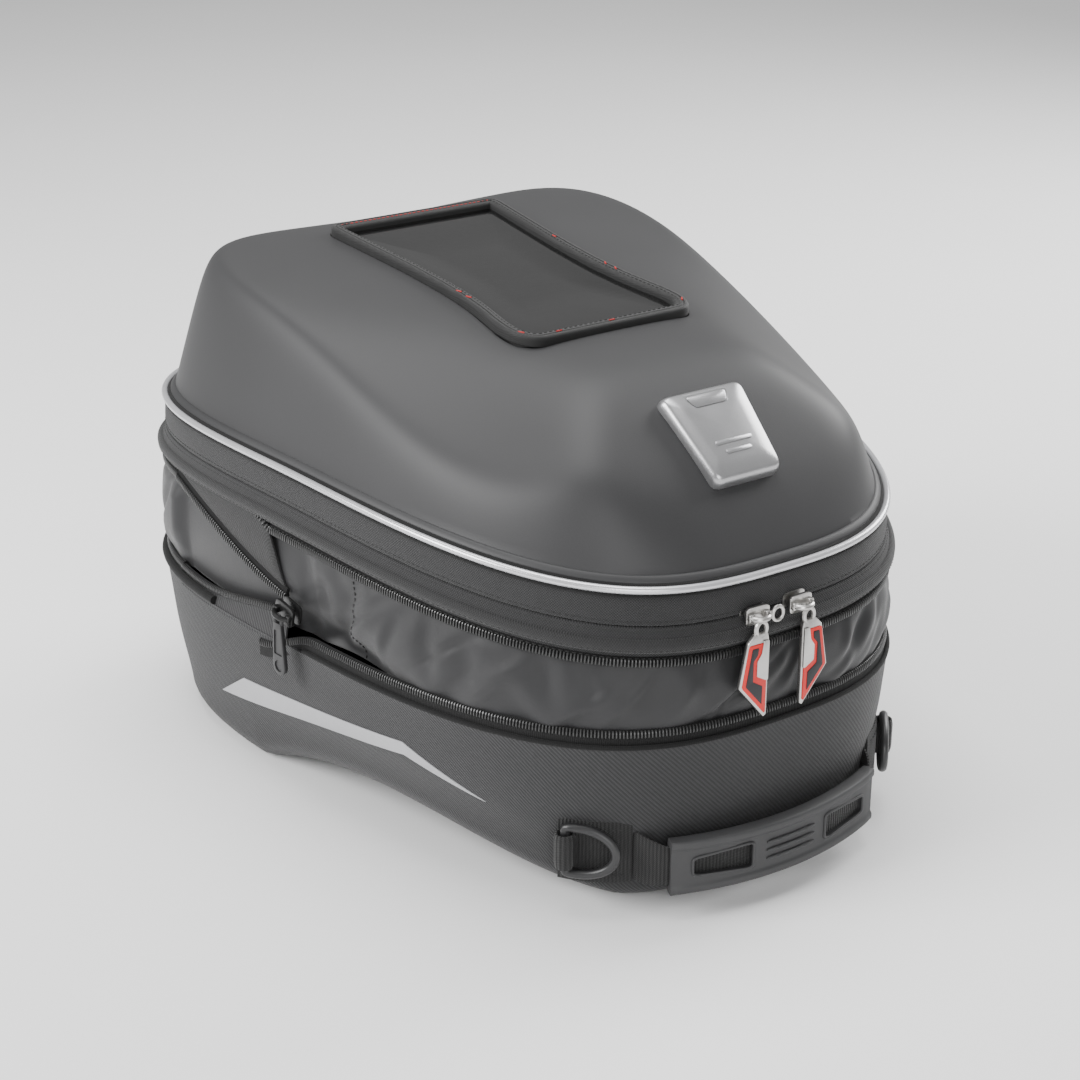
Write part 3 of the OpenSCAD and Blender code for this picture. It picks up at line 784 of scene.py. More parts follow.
def simulate(obj, pinned, frames=16, pressure=0.8):
    """Cloth run with its result kept as the mesh's own points."""
    group = obj.vertex_groups.new(name="pin")
    group.add(pinned, 1.0, "REPLACE")
    mod = obj.modifiers.new("cloth", "CLOTH")
    mod.settings.quality = 6
    mod.settings.mass = 0.12
    mod.settings.tension_stiffness = 12
    mod.settings.compression_stiffness = 6
    mod.settings.shear_stiffness = 4
    mod.settings.bending_stiffness = 0.6
    mod.settings.vertex_group_mass = "pin"
    mod.settings.shrink_min = -0.035
    mod.settings.use_pressure = True
    mod.settings.uniform_pressure_force = pressure
    mod.settings.effector_weights.gravity = 0
    mod.point_cache.frame_start, mod.point_cache.frame_end = 1, frames
    scene = bpy.context.scene
    for f in range(1, frames + 1):
        scene.frame_set(f)
    dg = bpy.context.evaluated_depsgraph_get()
    ev = obj.evaluated_get(dg)
    co = np.array([v.co[:] for v in ev.data.vertices], float) / MM
    obj.modifiers.remove(mod)
    obj.vertex_groups.remove(group)
    scene.frame_set(1)
    return co


def gusset():
    nu, nv = 720, 30
    ts, shares = even_angles(nu), np.linspace(0, 1, nv)
    base = gusset_points(ts, shares)
    n2 = normal_at(ts)
    n3 = np.concatenate([n2, np.zeros((nu, 1))], 1)[:, None]
    calm = behind_tails(ts)[:, None]
    pts = base + n3 * (creases(ts, shares) * (1 - 0.8 * calm))[..., None]
    mesh = grid_mesh(pts, ring_u=True)
    obj = bpy.data.objects.new("gusset_run", mesh)
    bpy.context.scene.collection.objects.link(obj)
    pinned = [k * nv + j for k in range(nu) for j in (0, nv - 1)]
    moved = simulate(obj, pinned).reshape(nu, nv, 3)
    bpy.data.objects.remove(obj)
    shift = moved - pts
    for _ in range(6):  # the cloth is coated and stiff, so its folds are broad
        shift = (shift + np.roll(shift, 1, 0) + np.roll(shift, -1, 0)) / 3
        shift[:, 1:-1] = (shift[:, :-2] + shift[:, 1:-1] + shift[:, 2:]) / 3
    size = np.linalg.norm(shift, axis=-1, keepdims=True)
    pts = pts + shift * np.minimum(1, 2.2 / np.maximum(size, 1e-6))
    away = ((pts - base) * n3).sum(-1)
    pts = (pts - n3 * np.maximum(away - 3.2 + 2.8 * calm, 0)[..., None]
           + n3 * np.maximum(-7 - away, 0)[..., None])
    inner = pts[:, ::-1] - n3 * 0.7
    shell = np.concatenate([pts, inner], 1)
    mesh = grid_mesh(shell, ring_u=True, ring_v=True, u=arc_of(ts))
    obj = finish_object("gusset_cloth", mesh, M["nylon"], None, ["gusset"], sharp=80)
    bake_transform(obj)
    # the panel's upright seam on the left flank
    t0 = left_t(-47.0)
    k = int(np.argmin(np.abs(ts - t0)))
    line = pts[k, 1:-1] + n3[k] * 0.35
    seam = finish_object("gusset_seam", stitches(line, np.repeat(n3[k], len(line), 0),
                                                 1.8, 0.9, 0.32), M["teeth"], None)
    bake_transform(seam)


gusset()

# ---- expansion zip ----

ROW_START = left_t(21.0)
ROW_END = 360 + left_t(100.0)


def rows():
    ts = spaced_angles(1.5, ROW_START, ROW_END)
    d = arc_of(ts) - arc_of(ts[0])
    curl = 6.0 * (1 - smooth(d / 9))
    path, out = seam_path(ts, 2.6, -ROW_DEPTH + curl)
    path[:, :2] += normal_at(ts) * (1.2 * (1 - smooth(d / 9)))[:, None]
    mesh = teeth(path, out, tall=3.8, deep=1.35)
    finish_object("upper_row_teeth", mesh, M["teeth"], "collar", ["expansion_row_upper"])
    wide = even_angles(620, ROW_START, ROW_END)
    tape = rounded([(0.6, -30.4), (1.9, -30.8), (2.3, -33), (1.6, -34.9), (0.5, -35.3), (0.1, -34)], 0.5)
    finish_object("upper_row_tape", sweep(wide, seam_base(wide), tape, ring=False),
                  M["tape"], "collar")
    path, out = seam_path(wide, 2.3, -31.0)
    finish_object("upper_row_stitching", stitches(path, out, 2.0, 1.0, 0.28),
                  M["thread"], "collar")

    dip = -12.0 * (1 - smooth(d / 40))
    base = np.full(len(ts), RIM_Z + 6.8)
    off = 3.1 + 2.6 * (1 - smooth(d / 40))
    xy = wall(ts, off)
    path = on(xy, base + dip)
    n = normal_at(ts)
    out = unit(np.concatenate([n, np.full((len(ts), 1), 0.25)], 1))
    mesh = teeth(path, out, tall=3.6, deep=1.35)
    finish_object("lower_row_teeth", mesh, M["teeth"], "lower_body", ["expansion_row_lower"])
    flat = even_angles(620, ROW_START, ROW_END)
    d2 = arc_of(flat) - arc_of(flat[0])
    prof = rounded([(0.9, -4), (3.9, -3.4), (3.6, 3.2), (2.4, 5.2), (1.1, 5.2)], 0.5)
    prof = prof[None] + np.stack([2.6 * (1 - smooth(d2 / 40)), -12.0 * (1 - smooth(d2 / 40))], -1)[:, None]
    finish_object("lower_row_tape", sweep(flat, np.full(len(flat), RIM_Z + 3.4), prof,
                                          ring=False), M["tape"], "lower_body")


SLIDER_Z = float(np.mean([corner[2] for corner in node_box("expansion_slider")]))


def tails():
    """The two rows behind the slider, which close on it from the back."""
    ys = np.linspace(TAIL_BACK, TAIL_FRONT, 90)
    ts = np.array([left_t(y) for y in ys])
    high = seam_z(TAIL_BACK) - ROW_DEPTH
    z_up = high + (SLIDER_Z + 4.6 - high) * smooth((TAIL_BACK + 2 - ys) / 100)
    z_up = 0.45 * z_up + 0.55 * (high + (SLIDER_Z + 4.6 - high) * (TAIL_BACK - ys) / (TAIL_BACK - TAIL_FRONT))
    z_low = RIM_Z + 6.8 + (SLIDER_Z - 4 - RIM_Z - 6.8) * smooth((74 - ys) / 74)
    spec = (("tail_upper", z_up, 3.6, "expansion_tail_upper"),
            ("tail_lower", z_low, 3.6, "expansion_tail_lower"))
    for name, z, off, node in spec:
        xy = wall(ts, off + np.zeros_like(ts))
        n = out_at(ts)
        fine = resample(on(xy, z), 1.5)
        out = np.stack([np.interp(np.linspace(0, 1, len(fine)), np.linspace(0, 1, len(ts)), n[:, k])
                        for k in range(3)], -1)
        row = finish_object(name + "_teeth", teeth(fine, out, tall=3.8, deep=1.4),
                            M["teeth"], None, [node])
        side = 1 if name == "tail_upper" else -1
        prof = rounded([(-2.4, -0.5), (-2.4, 3.6), (-1.4, 3.6), (-0.4, 1.5), (-0.2, -1.6), (-1.4, -1.6)], 0.4)
        prof = prof * [1, side] + [off, 0]
        tape = sweep(ts, z, prof, ring=False)
        band = finish_object(name + "_tape", tape, M["tape"], None)
        for piece in (row, band):
            if side > 0:
                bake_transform(piece)
            else:
                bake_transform(piece)

    # cloth above the upper tail and below the lower one
    m = 14
    open_z = seam_z(ys) - 29.0
    top = z_up + 2.4 + (open_z - z_up - 2.4) * smooth((ys - TAIL_FRONT) / 19)
    grid = []
    for q in np.linspace(0, 1, m):
        z = z_up + 2.2 + q * (top - z_up - 2.2)
        off = 1.9 + 0.9 * np.sin(math.pi * q) * np.clip((top - z_up) / 18, 0, 1) + 0 * z
        grid.append(on(wall(ts, off), z))
    patch = np.stack(grid, 1)
    n3 = out_at(ts)[:, None]
    shell = np.concatenate([patch, patch[:, ::-1] - n3 * 1.0], 1)
    cloth = finish_object("tail_cloth_upper", grid_mesh(shell, ring_v=True, caps=True),
                          M["flap_cloth"], None)
    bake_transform(cloth)
    grid = []
    for q in np.linspace(0, 1, m):
        low = np.full(len(ts), RIM_Z - 2.0)
        z = low + q * (z_low - 2.0 - low)
        off = wall_off(low) + 0.35 - q * (wall_off(low) + 0.35 - 2.6)
        grid.append(on(wall(ts, off), z))
    patch = np.stack(grid, 1)
    shell = np.concatenate([patch, patch[:, ::-1] - n3 * 1.0], 1)
    cloth = finish_object("tail_cloth_lower", grid_mesh(shell, ring_v=True, caps=True),
                          M["shell_cloth"], None)
    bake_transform(cloth)


rows()
tails()

# ---- collar and lid bands ----

def bands():
    ts = even_angles(560)
    z = seam_base(ts)
    lid = rounded([(-0.2, -2.4), (0.5, -5.5), (1.0, -12), (0.9, -16.4), (-0.8, -16.4), (-0.9, -10),
                   (-2.2, -2.4)], 0.9, 5)
    finish_object("lid_band_cloth", sweep(ts, z, lid), M["band_cloth"], "lid",
                  ["lid_band"])
    collar = rounded([(-0.6, -17.0), (1.0, -17.0), (1.9, -19.5), (3.0, -22.5), (2.6, -26), (1.0, -31.2),
                      (-0.3, -31.2), (0.4, -25), (-0.8, -19.5)], 0.9, 4)
    finish_object("collar_cloth", sweep(ts, z, collar), M["band_cloth"], "collar",
                  ["collar_band"])
    flap = rounded([(2.0, -21.6), (4.2, -22.0), (5.7, -23.8), (5.6, -25.8), (4.6, -27.6), (3.4, -28.0),
                    (3.2, -26), (2.6, -24)], 1.0, 5)
    piece = finish_object("collar_flap_cloth", sweep(ts, z, flap), M["flap_cloth"],
                          "collar", ["collar_flap"])
    for name, off, dz, body in (("lid_band_stitching", 1.0, -14.4, "lid"),
                                ("collar_stitching", 1.6, -18.7, "collar"),
                                ("flap_stitching", 5.3, -26.4, "collar")):
        path, out = seam_path(ts, off, dz)
        finish_object(name, stitches(path, out, 1.9, 1.0, 0.24), M["thread"], body)


def main_zip():
    t0, t1 = 118.0, 422.0
    ts = spaced_angles(1.8, t0, t1)
    for name, dz, body, node in (("main_teeth_upper", -15.6, "lid", "main_zip_upper"),
                                 ("main_teeth_lower", -17.8, "collar", "main_zip_lower")):
        path, out = seam_path(ts, -1.2, dz)
        finish_object(name, teeth(path, out, 1.8, 2.0, 1.0), M["teeth"], body, [node])
    for name, lo, hi, body in (("main_tape_upper", -16.5, -5.0, "lid"),
                               ("main_tape_lower", -28.0, -16.9, "collar")):
        wide = even_angles(400, t0, t1)
        prof = rounded([(-1.5, lo), (-0.9, lo), (-0.9, hi), (-1.5, hi)], 0.2, 2)
        finish_object(name, sweep(wide, seam_base(wide), prof, ring=False), M["tape"], body)
    back = even_angles(90, 62.0, 118.0)
    prof = rounded([(-1.9, -21.5), (-0.5, -21.5), (0.1, -16.7), (-0.5, -12), (-1.9, -12)], 0.4, 3)
    hinge = finish_object("hinge_cloth", sweep(back, seam_base(back), prof, ring=False),
                          M["tape"], None, ["lid_hinge_strip"])
    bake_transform(hinge)


def piping():
    ts = even_angles(640)
    z = seam_base(ts)
    finish_object("silver_piping", sweep(ts, z, circle_profile(0.25, 0.1, 1.75, 16)),
                  M["silver_pipe"], "lid", ["lid_piping"])
    flange = rounded([(-0.6, -0.8), (-1.2, 1.2), (-2.2, 2.0), (-4.4, 2.4), (-6.2, 2.2), (-6.2, 1.0),
                      (-4, -0.4), (-2, -2.6)], 0.7, 4)
    finish_object("lid_flange", sweep(ts, z, flange), M["binding"], "lid")
    skirt = rounded([(-6.4, 1.6), (-2.8, 1.4), (-2.6, 2.2), (-3.4, 3.4), (-4.8, 4.6), (-6.4, 4.6)], 0.6, 3)
    finish_object("lid_skirt", sweep(ts, z, skirt), M["lid_skin"], "lid")
    finish_object("piping_edge", sweep(ts, z, circle_profile(0.3, -2.3, 0.95, 10)),
                  M["binding"], "lid")


bands()
main_zip()
piping()

# ---- lid ----

def crown_matrix(x=0.0, y=0.0, z=0.0):
    a = math.atan(CROWN_SLOPE)
    m = Matrix.Translation((0, 0, CROWN_Z * MM)) @ Matrix.Rotation(a, 4, "X")
    return m @ Matrix.Translation((x * MM, y * MM, z * MM))


def frame_outline(grow, n=5):
    """Pocket frame seen from above: waisted, with rounded front corners."""
    half = [(-52, 114), (-46.5, 40), (-45.6, 10), (-46.5, -14), (-50.6, -42), (-50.5, -55), (-44, -66)]
    pts = half + [(-x, y) for x, y in reversed(half)]
    r = rounded(pts, 9, n)
    centre = np.array([0.0, 24.0])
    d = np.roll(r, -1, 0) - np.roll(r, 1, 0)
    normal = unit(np.stack([-d[:, 1], d[:, 0]], -1))
    normal *= np.sign((normal * (r - centre)).sum(-1, keepdims=True))
    return r + normal * grow


def lid_shell():
    ts = even_angles(560)
    outer_r = np.concatenate([np.linspace(0.02, 0.5, 26, endpoint=False), np.linspace(0.5, 1, 70)])
    inner_r = np.linspace(0.02, 1, 24)

    def ring_rows(shares, inset, drop):
        t = np.repeat(ts[:, None], len(shares), 1)
        r = np.repeat(shares[None], len(ts), 0)
        return lid_point(t, r, inset, drop)

    outer = ring_rows(outer_r, LID_INSET, 0.0)
    inner = ring_rows(inner_r, LID_INSET + LID_T, LID_T)
    pts = np.concatenate([outer, inner[:, ::-1]], 1)
    mesh = grid_mesh(pts, ring_u=True)
    close_ends(mesh)
    hole = prism(frame_outline(0.5), -40, 30, matrix=crown_matrix())
    mesh = cut(mesh, [hole])
    return finish_object("lid_skin", mesh, M["lid_skin"], "lid", ["lid_shell"], sharp=35)


def lid_lining():
    ts = even_angles(240)
    shares = np.linspace(0.02, 0.985, 30)
    t = np.repeat(ts[:, None], len(shares), 1)
    r = np.repeat(shares[None], len(ts), 0)
    outer = lid_point(t, r, LID_INSET + LID_T + 0.4, 3.8 + 0 * r)
    inner = lid_point(t, r, LID_INSET + LID_T + 1.5, 5.0 + 0 * r)
    mesh = grid_mesh(np.concatenate([outer, inner[:, ::-1]], 1), ring_u=True)
    close_ends(mesh)
    hole = prism([(-46, -61), (46, -61), (46, 105), (-46, 105)], -40, 40, matrix=crown_matrix())
    finish_object("lid_lining_cloth", cut(mesh, [hole]), M["lining"], "lid", ["lid_lining"])


def pocket():
    tub_lo, tub_hi = -56.0, 100.0
    floor_z = -9.6
    wall_pts = rounded([(-44, tub_lo), (44, tub_lo), (44, tub_hi), (-44, tub_hi)], 8, 6)
    rings = []
    for grow, z in ((6.5, -1.7), (1.2, -1.9), (0.2, -3), (0, -7), (-1.5, -9.2), (-4, floor_z), (-20, floor_z)):
        centre = wall_pts.mean(0)
        d = wall_pts - centre
        scale = 1 + grow / np.abs(d).max(0)
        rings.append(np.concatenate([centre + d * scale, np.full((len(wall_pts), 1), z)], 1))
    upper = np.stack(rings, 1)
    lower = upper[:, ::-1] - [0, 0, 1.4]
    mesh = grid_mesh(np.concatenate([upper, lower], 1), ring_u=True)
    close_ends(mesh)
    mesh.transform(crown_matrix())
    finish_object("pocket_lining", mesh, M["lining"], "lid", ["pocket_tub"])

    fold = -3.0
    width = 7.0
    outer, inner = frame_outline(0.0, 6), frame_outline(-width, 6)
    levels = ((0.0, -1.2), (0.0, 1.6), (0.02, 2.6), (0.08, 3.3), (0.2, 3.7), (0.30, 3.75), (0.34, 3.35),
              (0.40, 3.3), (0.44, 3.65), (0.62, 3.6), (0.85, 3.2), (0.97, 2.5), (1.0, 1.4), (1.0, -1.2))
    ring = np.stack([np.concatenate([outer + (inner - outer) * q, np.full((len(outer), 1), z)], 1)
                     for q, z in levels], 1)
    whole = grid_mesh(ring, ring_u=True, ring_v=True)
    big = 120
    front_cut = prism([(-big, -big), (big, -big), (big, fold - 0.2), (-big, fold - 0.2)], -20, 30)
    back_cut = prism([(-big, fold), (big, fold), (big, big), (-big, big)], -20, 30)
    front = cut(whole.copy(), [back_cut])
    back = cut(whole.copy(), [front_cut])
    for mesh, name, body, node in ((front, "pocket_frame_front", "lid", "pocket_front_frame"),
                                   (back, "pocket_frame_flap", "flap", "pocket_flap_frame")):
        mesh.transform(crown_matrix())
        finish_object(name, mesh, M["frame_cloth"], body, [node])

    edge = frame_outline(-width + 1.2, 6)
    n = 40
    rows_ = [edge * (1 - q) + np.array([0.0, 24.0]) * q for q in np.linspace(0, 0.97, n)]
    grid = np.stack(rows_, 1)
    sag = -0.2 - 1.1 * smooth(np.linspace(0, 1, n) * 1.6)[None] + 0 * grid[..., 0]
    pts = np.concatenate([grid, sag[..., None]], -1)
    mesh = grid_mesh(pts, ring_u=True)
    bm = bmesh.new()
    bm.from_mesh(mesh)
    bmesh.ops.holes_fill(bm, edges=[e for e in bm.edges if e.is_boundary and
                                    (e.verts[0].co - Vector((0, 0.024, -0.0013))).length < 0.01], sides=0)
    bm.to_mesh(mesh)
    bm.free()
    mesh.transform(crown_matrix())
    film_obj = finish_object("pocket_film", mesh, M["film"], None, ["pocket_window"])
    a = math.atan(CROWN_SLOPE)
    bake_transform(film_obj)

    # stitching: dark all round, red along the mouth, red bar tacks at the fold and the front
    line = frame_outline(-4.6, 6)
    path = np.concatenate([line, np.full((len(line), 1), 3.72)], 1)
    path = np.concatenate([path, path[:1]])
    back_part = resample(path, 0.8)
    keep_back = back_part[(back_part[:, 1] > fold + 1)]
    for name, pts_, body in (("frame_stitching_front", back_part[back_part[:, 1] < fold - 1], "lid"),
                             ("frame_stitching_left", keep_back[keep_back[:, 0] < -40], "flap"),
                             ("frame_stitching_right", keep_back[keep_back[:, 0] > 40], "flap")):
        order = np.argsort(pts_[:, 1] if "front" not in name else np.arctan2(pts_[:, 0], -pts_[:, 1] - 20))
        mesh = stitches(pts_[order], np.repeat([[0, 0, 1.0]], len(pts_), 0), 1.8, 1.0, 0.22)
        mesh.transform(crown_matrix())
        finish_object(name, mesh, M["thread"], body)
    mouth = np.stack([np.linspace(-44, 44, 60), np.full(60, 109.6), np.full(60, 3.62)], 1)
    mesh = stitches(mouth, np.repeat([[0, 0, 1.0]], 60, 0), 1.7, 0.9, 0.3)
    mesh.transform(crown_matrix())
    finish_object("mouth_stitching", mesh, M["red_thread"], "flap")
    tacks = {"lid": [(-43.2, -7, 25), (43.2, -7, -25), (-46.5, -56, 35), (46.5, -56, -35), (-30, -62.6, 90),
                     (0, -62.6, 90)],
             "flap": [(-43.2, 1.5, 25), (43.2, 1.5, -25), (43.4, 46, 0)]}
    for body, spots in tacks.items():
        meshes = []
        for x, y, turn in spots:
            a = math.radians(turn)
            p = np.array([[x - 1.5 * math.sin(a) * s, y + 1.5 * math.cos(a) * s, 3.7] for s in (-1, 0, 1)])
            m = tube_mesh(p, 0.4, 8, up=(0, 0, 1))
            m.transform(crown_matrix())
            meshes.append(m)
        finish_object("bar_tacks_" + body, joined(meshes), M["red_thread"], body)


def badge():
    a = math.atan(NOSE_SLOPE)
    origin = (0, -142.5, 219.6 - NOSE_SLOPE * 18.5)
    x, y = np.array([1.0, 0, 0]), np.array([0, math.cos(a), math.sin(a)])
    m = frame_matrix(origin, x, y, np.cross(x, y))
    corner = rounded([(-23, 21), (23, 21), (18.6, -27), (-18.6, -27)], 4.5, 8)
    centre = np.array([0, -2.0])
    rings = []
    for scale, z in ((1.0, -1.5), (1.0, 1.6), (0.985, 3.0), (0.96, 4.2), (0.93, 5.0), (0.90, 5.35), (0.6, 5.9),
                     (0.3, 6.15), (0.02, 6.2)):
        p = centre + (corner - centre) * scale
        rings.append(np.concatenate([p, (z + 0 * p[:, :1]) - 0.0006 * (p[:, 1:] - 2) ** 2], 1))
    mesh = grid_mesh(np.stack(rings, 1), ring_u=True)
    close_ends(mesh)
    notch = rounded([(-12.2, 17.6), (-9.4, 10.2), (9.4, 10.2), (12.2, 17.6)], 2.2, 5)
    tab = rounded([(-11.2, 17.0), (-8.8, 10.9), (8.8, 10.9), (11.2, 17.0)], 1.9, 5)
    mesh = cut(mesh, [prism(notch, 5.2, 12)])
    mesh = joined([mesh, prism(tab, 4.2, 5.75, 0.25)])
    bars = []
    for k, width in enumerate((20, 14)):
        pts = rounded([(-width / 2, -9 - 5 * k - 1.1), (width / 2, -9 - 5 * k - 1.1),
                       (width / 2, -9 - 5 * k + 1.1), (-width / 2, -9 - 5 * k + 1.1)], 1.1, 5)
        bars.append(prism(pts, 5.0, 6.35 - 0.16 * k, 0.22))
    mesh = joined([mesh] + bars)
    mesh.transform(m)
    finish_object("badge_plate", mesh, M["satin_badge"], "lid", ["badge"], sharp=30)


lid_shell()
lid_lining()
pocket()
badge()

# ---- main sliders and pullers ----

def slider_body(w, h, deep):
    """Zip slider in its own frame: X along the zip, Y up, Z off the bag."""
    plan = rounded([(-w / 2, -h / 2 * 0.8), (-w / 2 + 2, -h / 2),
                    (w / 2 - 2, -h / 2), (w / 2, -h / 2 * 0.8),
                    (w / 2, h / 2 * 0.8), (w / 2 - 2, h / 2),
                    (-w / 2 + 2, h / 2), (-w / 2, h / 2 * 0.8)], 1.2, 3)
    plate = prism(plan, 1.6, 3.2, 0.45)
    back = prism(plan, -2.6, -1.6, 0.3)
    a = np.linspace(0, math.pi, 18)
    span = w * 0.36
    bridge = np.stack([span * np.cos(a), np.zeros(18), 2.6 + deep * np.sin(a) ** 0.7], -1)
    arch_ = tube_mesh(bridge, 1.35, 10, flat=1.0, up=(0, 1, 0))
    cheeks = [prism([(s * w * 0.36 - 1.5, -1.7), (s * w * 0.36 + 1.5, -1.7),
                              (s * w * 0.36 + 1.5, 1.7), (s * w * 0.36 - 1.5, 1.7)], 2.6, 5.2, 0.5)
              for s in (-1, 1)]
    return joined([plate, back, arch_] + cheeks)


def front_frame(node, side):
    """Frame at a main slider, off its CAD node: X away from the other slider."""
    lo, hi = node_box(node)
    c = (lo + hi) / 2
    z = np.array([c[0] / 400, -1.0, 0])
    z /= np.linalg.norm(z)
    x = np.array([-z[1] * side, z[0] * side, 0])
    y = np.array([0, 0, 1.0])
    return c, x, y, z


def main_sliders():
    ring_origin = None
    for side, word in ((-1, "left"), (1, "right")):
        node = f"main_slider_{word}"
        c, x, y, z = front_frame(node, side)
        lo, hi = node_box(node)
        back_y = hi[1]
        c = np.array([c[0], back_y - 1.0, c[2] + 0.4])
        m = frame_matrix(c, x, y, z)
        mesh = slider_body(12.5, 8.4, 5.4)
        mesh.transform(m)
        outward(mesh)
        finish_object(f"zip_slider_{word}", mesh, M["nickel"], f"{word}_slider", [node], 35)
        ring_origin = c if ring_origin is None else (ring_origin + c) / 2

        # puller hangs from the bridge; its pin line is the CAD eye's
        plo, phi = node_box(f"puller_{word}")
        pin = np.array([c[0], 0, phi[2] - 2.3])
        pin[1] = (plo[1] + phi[1]) / 2
        pm = frame_matrix(pin, x, y, z)
        blade = [(-2.4, -8.2), (-1.6, -5.0), (5.2, -5.0), (8.8, -8.6), (12.9, -29.4), (-0.9, -46.0),
                 (-2.4, -45.0)]
        body = prism(blade, -1.15, 1.0, 0.4)
        loop_path = []
        for a in np.linspace(0, 2 * math.pi, 28, endpoint=False):
            loop_path.append((1.5 + 3.4 * math.cos(a) * 0.8, -3.4 + 3.6 * math.sin(a), 0))
        loop = tube_mesh(np.array(loop_path), 1.05, 8, ring=True, up=(0, 0, 1))
        metal = joined([body, loop])
        metal.transform(pm)
        outward(metal)
        finish_object(f"puller_body_{word}", metal, M["nickel"], f"{word}_puller",
                      [f"puller_{word}"], 35)
        red = prism(rounded([(-1.3, -9.6), (8.3, -9.6), (11.7, -29.0), (-0.7, -43.8), (-1.3, -43.2)],
                                   0.8, 3), 0.6, 1.55, 0.3)
        red.transform(pm)
        outward(red)
        finish_object(f"puller_red_{word}", red, M["red_rubber"], f"{word}_puller")
        core = prism(rounded([(3.4, -11.2), (6.9, -11.2), (9.9, -28.6), (0.9, -39.2), (0.9, -30.2),
                                      (6.1, -27.0), (6.1, -17.2), (3.9, -14.6)], 0.5, 3), 1.2, 1.8, 0.15)
        core.transform(pm)
        outward(core)
        finish_object(f"puller_core_{word}", core, M["dark_core"], f"{word}_puller",
                      [f"puller_inlay_{word}"])
        tag = prism(rounded([(-1.9, -8.4), (0.9, -8.4), (2.0, -14.4), (4.2, -17.6), (4.2, -24.8),
                                    (-0.7, -27.6), (-1.9, -27.6)], 0.5, 3), 0.6, 1.95, 0.25)
        tag.transform(pm)
        outward(tag)
        finish_object(f"puller_tag_{word}", tag, M["nickel"], f"{word}_puller")
    # the little locking ring between the two sliders, on the left one
    c = ring_origin + np.array([-0.6, -2.6, -2.0])
    a = np.linspace(0, 2 * math.pi, 32, endpoint=False)
    path = c + np.stack([3.0 * np.cos(a), 0 * a, 3.3 * np.sin(a)], -1)
    finish_object("lock_ring", tube_mesh(path, 1.0, 10, ring=True, up=(0, 1, 0)), M["nickel"],
                  "left_slider")


def expansion_slider():
    t = left_t(-5.0)
    n = normal_at(np.array([t]))[0]
    z = np.array([n[0], n[1], 0])
    x = np.array([-n[1], n[0], 0])
    y = np.array([0, 0, 1.0])
    xy = wall(np.array([t]), np.array([5.6]))[0]
    c = np.array([xy[0], xy[1], SLIDER_Z]) + z * 1.4
    m = frame_matrix(c, x, y, z)
    tilt = Matrix.Rotation(math.radians(-14), 4, "Z")
    mesh = slider_body(13.5, 10.5, 4.8)
    mesh.transform(m @ tilt)
    outward(mesh)
    finish_object("row_slider_body", mesh, M["black_slider"], "row_slider",
                  ["expansion_slider"], 35)
    pin_off = 5.6 + 7.8
    xy = wall(np.array([t]), np.array([pin_off]))[0]
    pin = np.array([xy[0], xy[1], SLIDER_Z - 1])
    pm = frame_matrix(pin, x, y, z)
    a = np.radians(np.linspace(0, -180, 22))
    plan = [(-2.9, -2.6), (2.9, -2.6)] + [(4.6 * math.cos(q), -25.2 + 4.6 * math.sin(q)) for q in a]
    tab = prism(plan, -1.1, 1.1, 0.45)
    hole = prism([(3.0 * math.cos(q), -25.2 + 3.0 * math.sin(q)) for q in
                          np.linspace(0, 2 * math.pi, 24, endpoint=False)], 0.5, 3)
    slot_ = prism(rounded([(-2.3, -6.4), (2.3, -6.4), (3.1, -19.4), (-3.1, -19.4)], 0.8, 3), 0.55, 3)
    tab = cut(tab, [hole, slot_])
    ring_a = np.linspace(0, 2 * math.pi, 24, endpoint=False)
    loop = tube_mesh(np.stack([2.6 * np.cos(ring_a), -1.6 + 2.8 * np.sin(ring_a), 0 * ring_a], -1), 0.95, 8,
                     ring=True, up=(0, 0, 1))
    mesh = joined([tab, loop])
    mesh.transform(pm)
    outward(mesh)
    finish_object("row_puller_tab", mesh, M["ring_plastic"], "row_puller",
                  ["expansion_puller"], 35)


main_sliders()
expansion_slider()

# ---- handle, straps and rings ----

def strap_grid(path, normals, half, thick, sides=10):
    """Flat woven strap along a path in plan: half its width up and down, edges rounded."""
    heights = np.linspace(-half, half, sides)
    grid = []
    for side_, row in ((1, heights), (-1, heights[::-1])):
        for h in row:
            edge = 1 - 0.6 * abs(h / half) ** 8
            grid.append(path + normals * (side_ * thick / 2 * edge) + np.array([0, 0, 1.0]) * h)
    return np.stack(grid, 1)


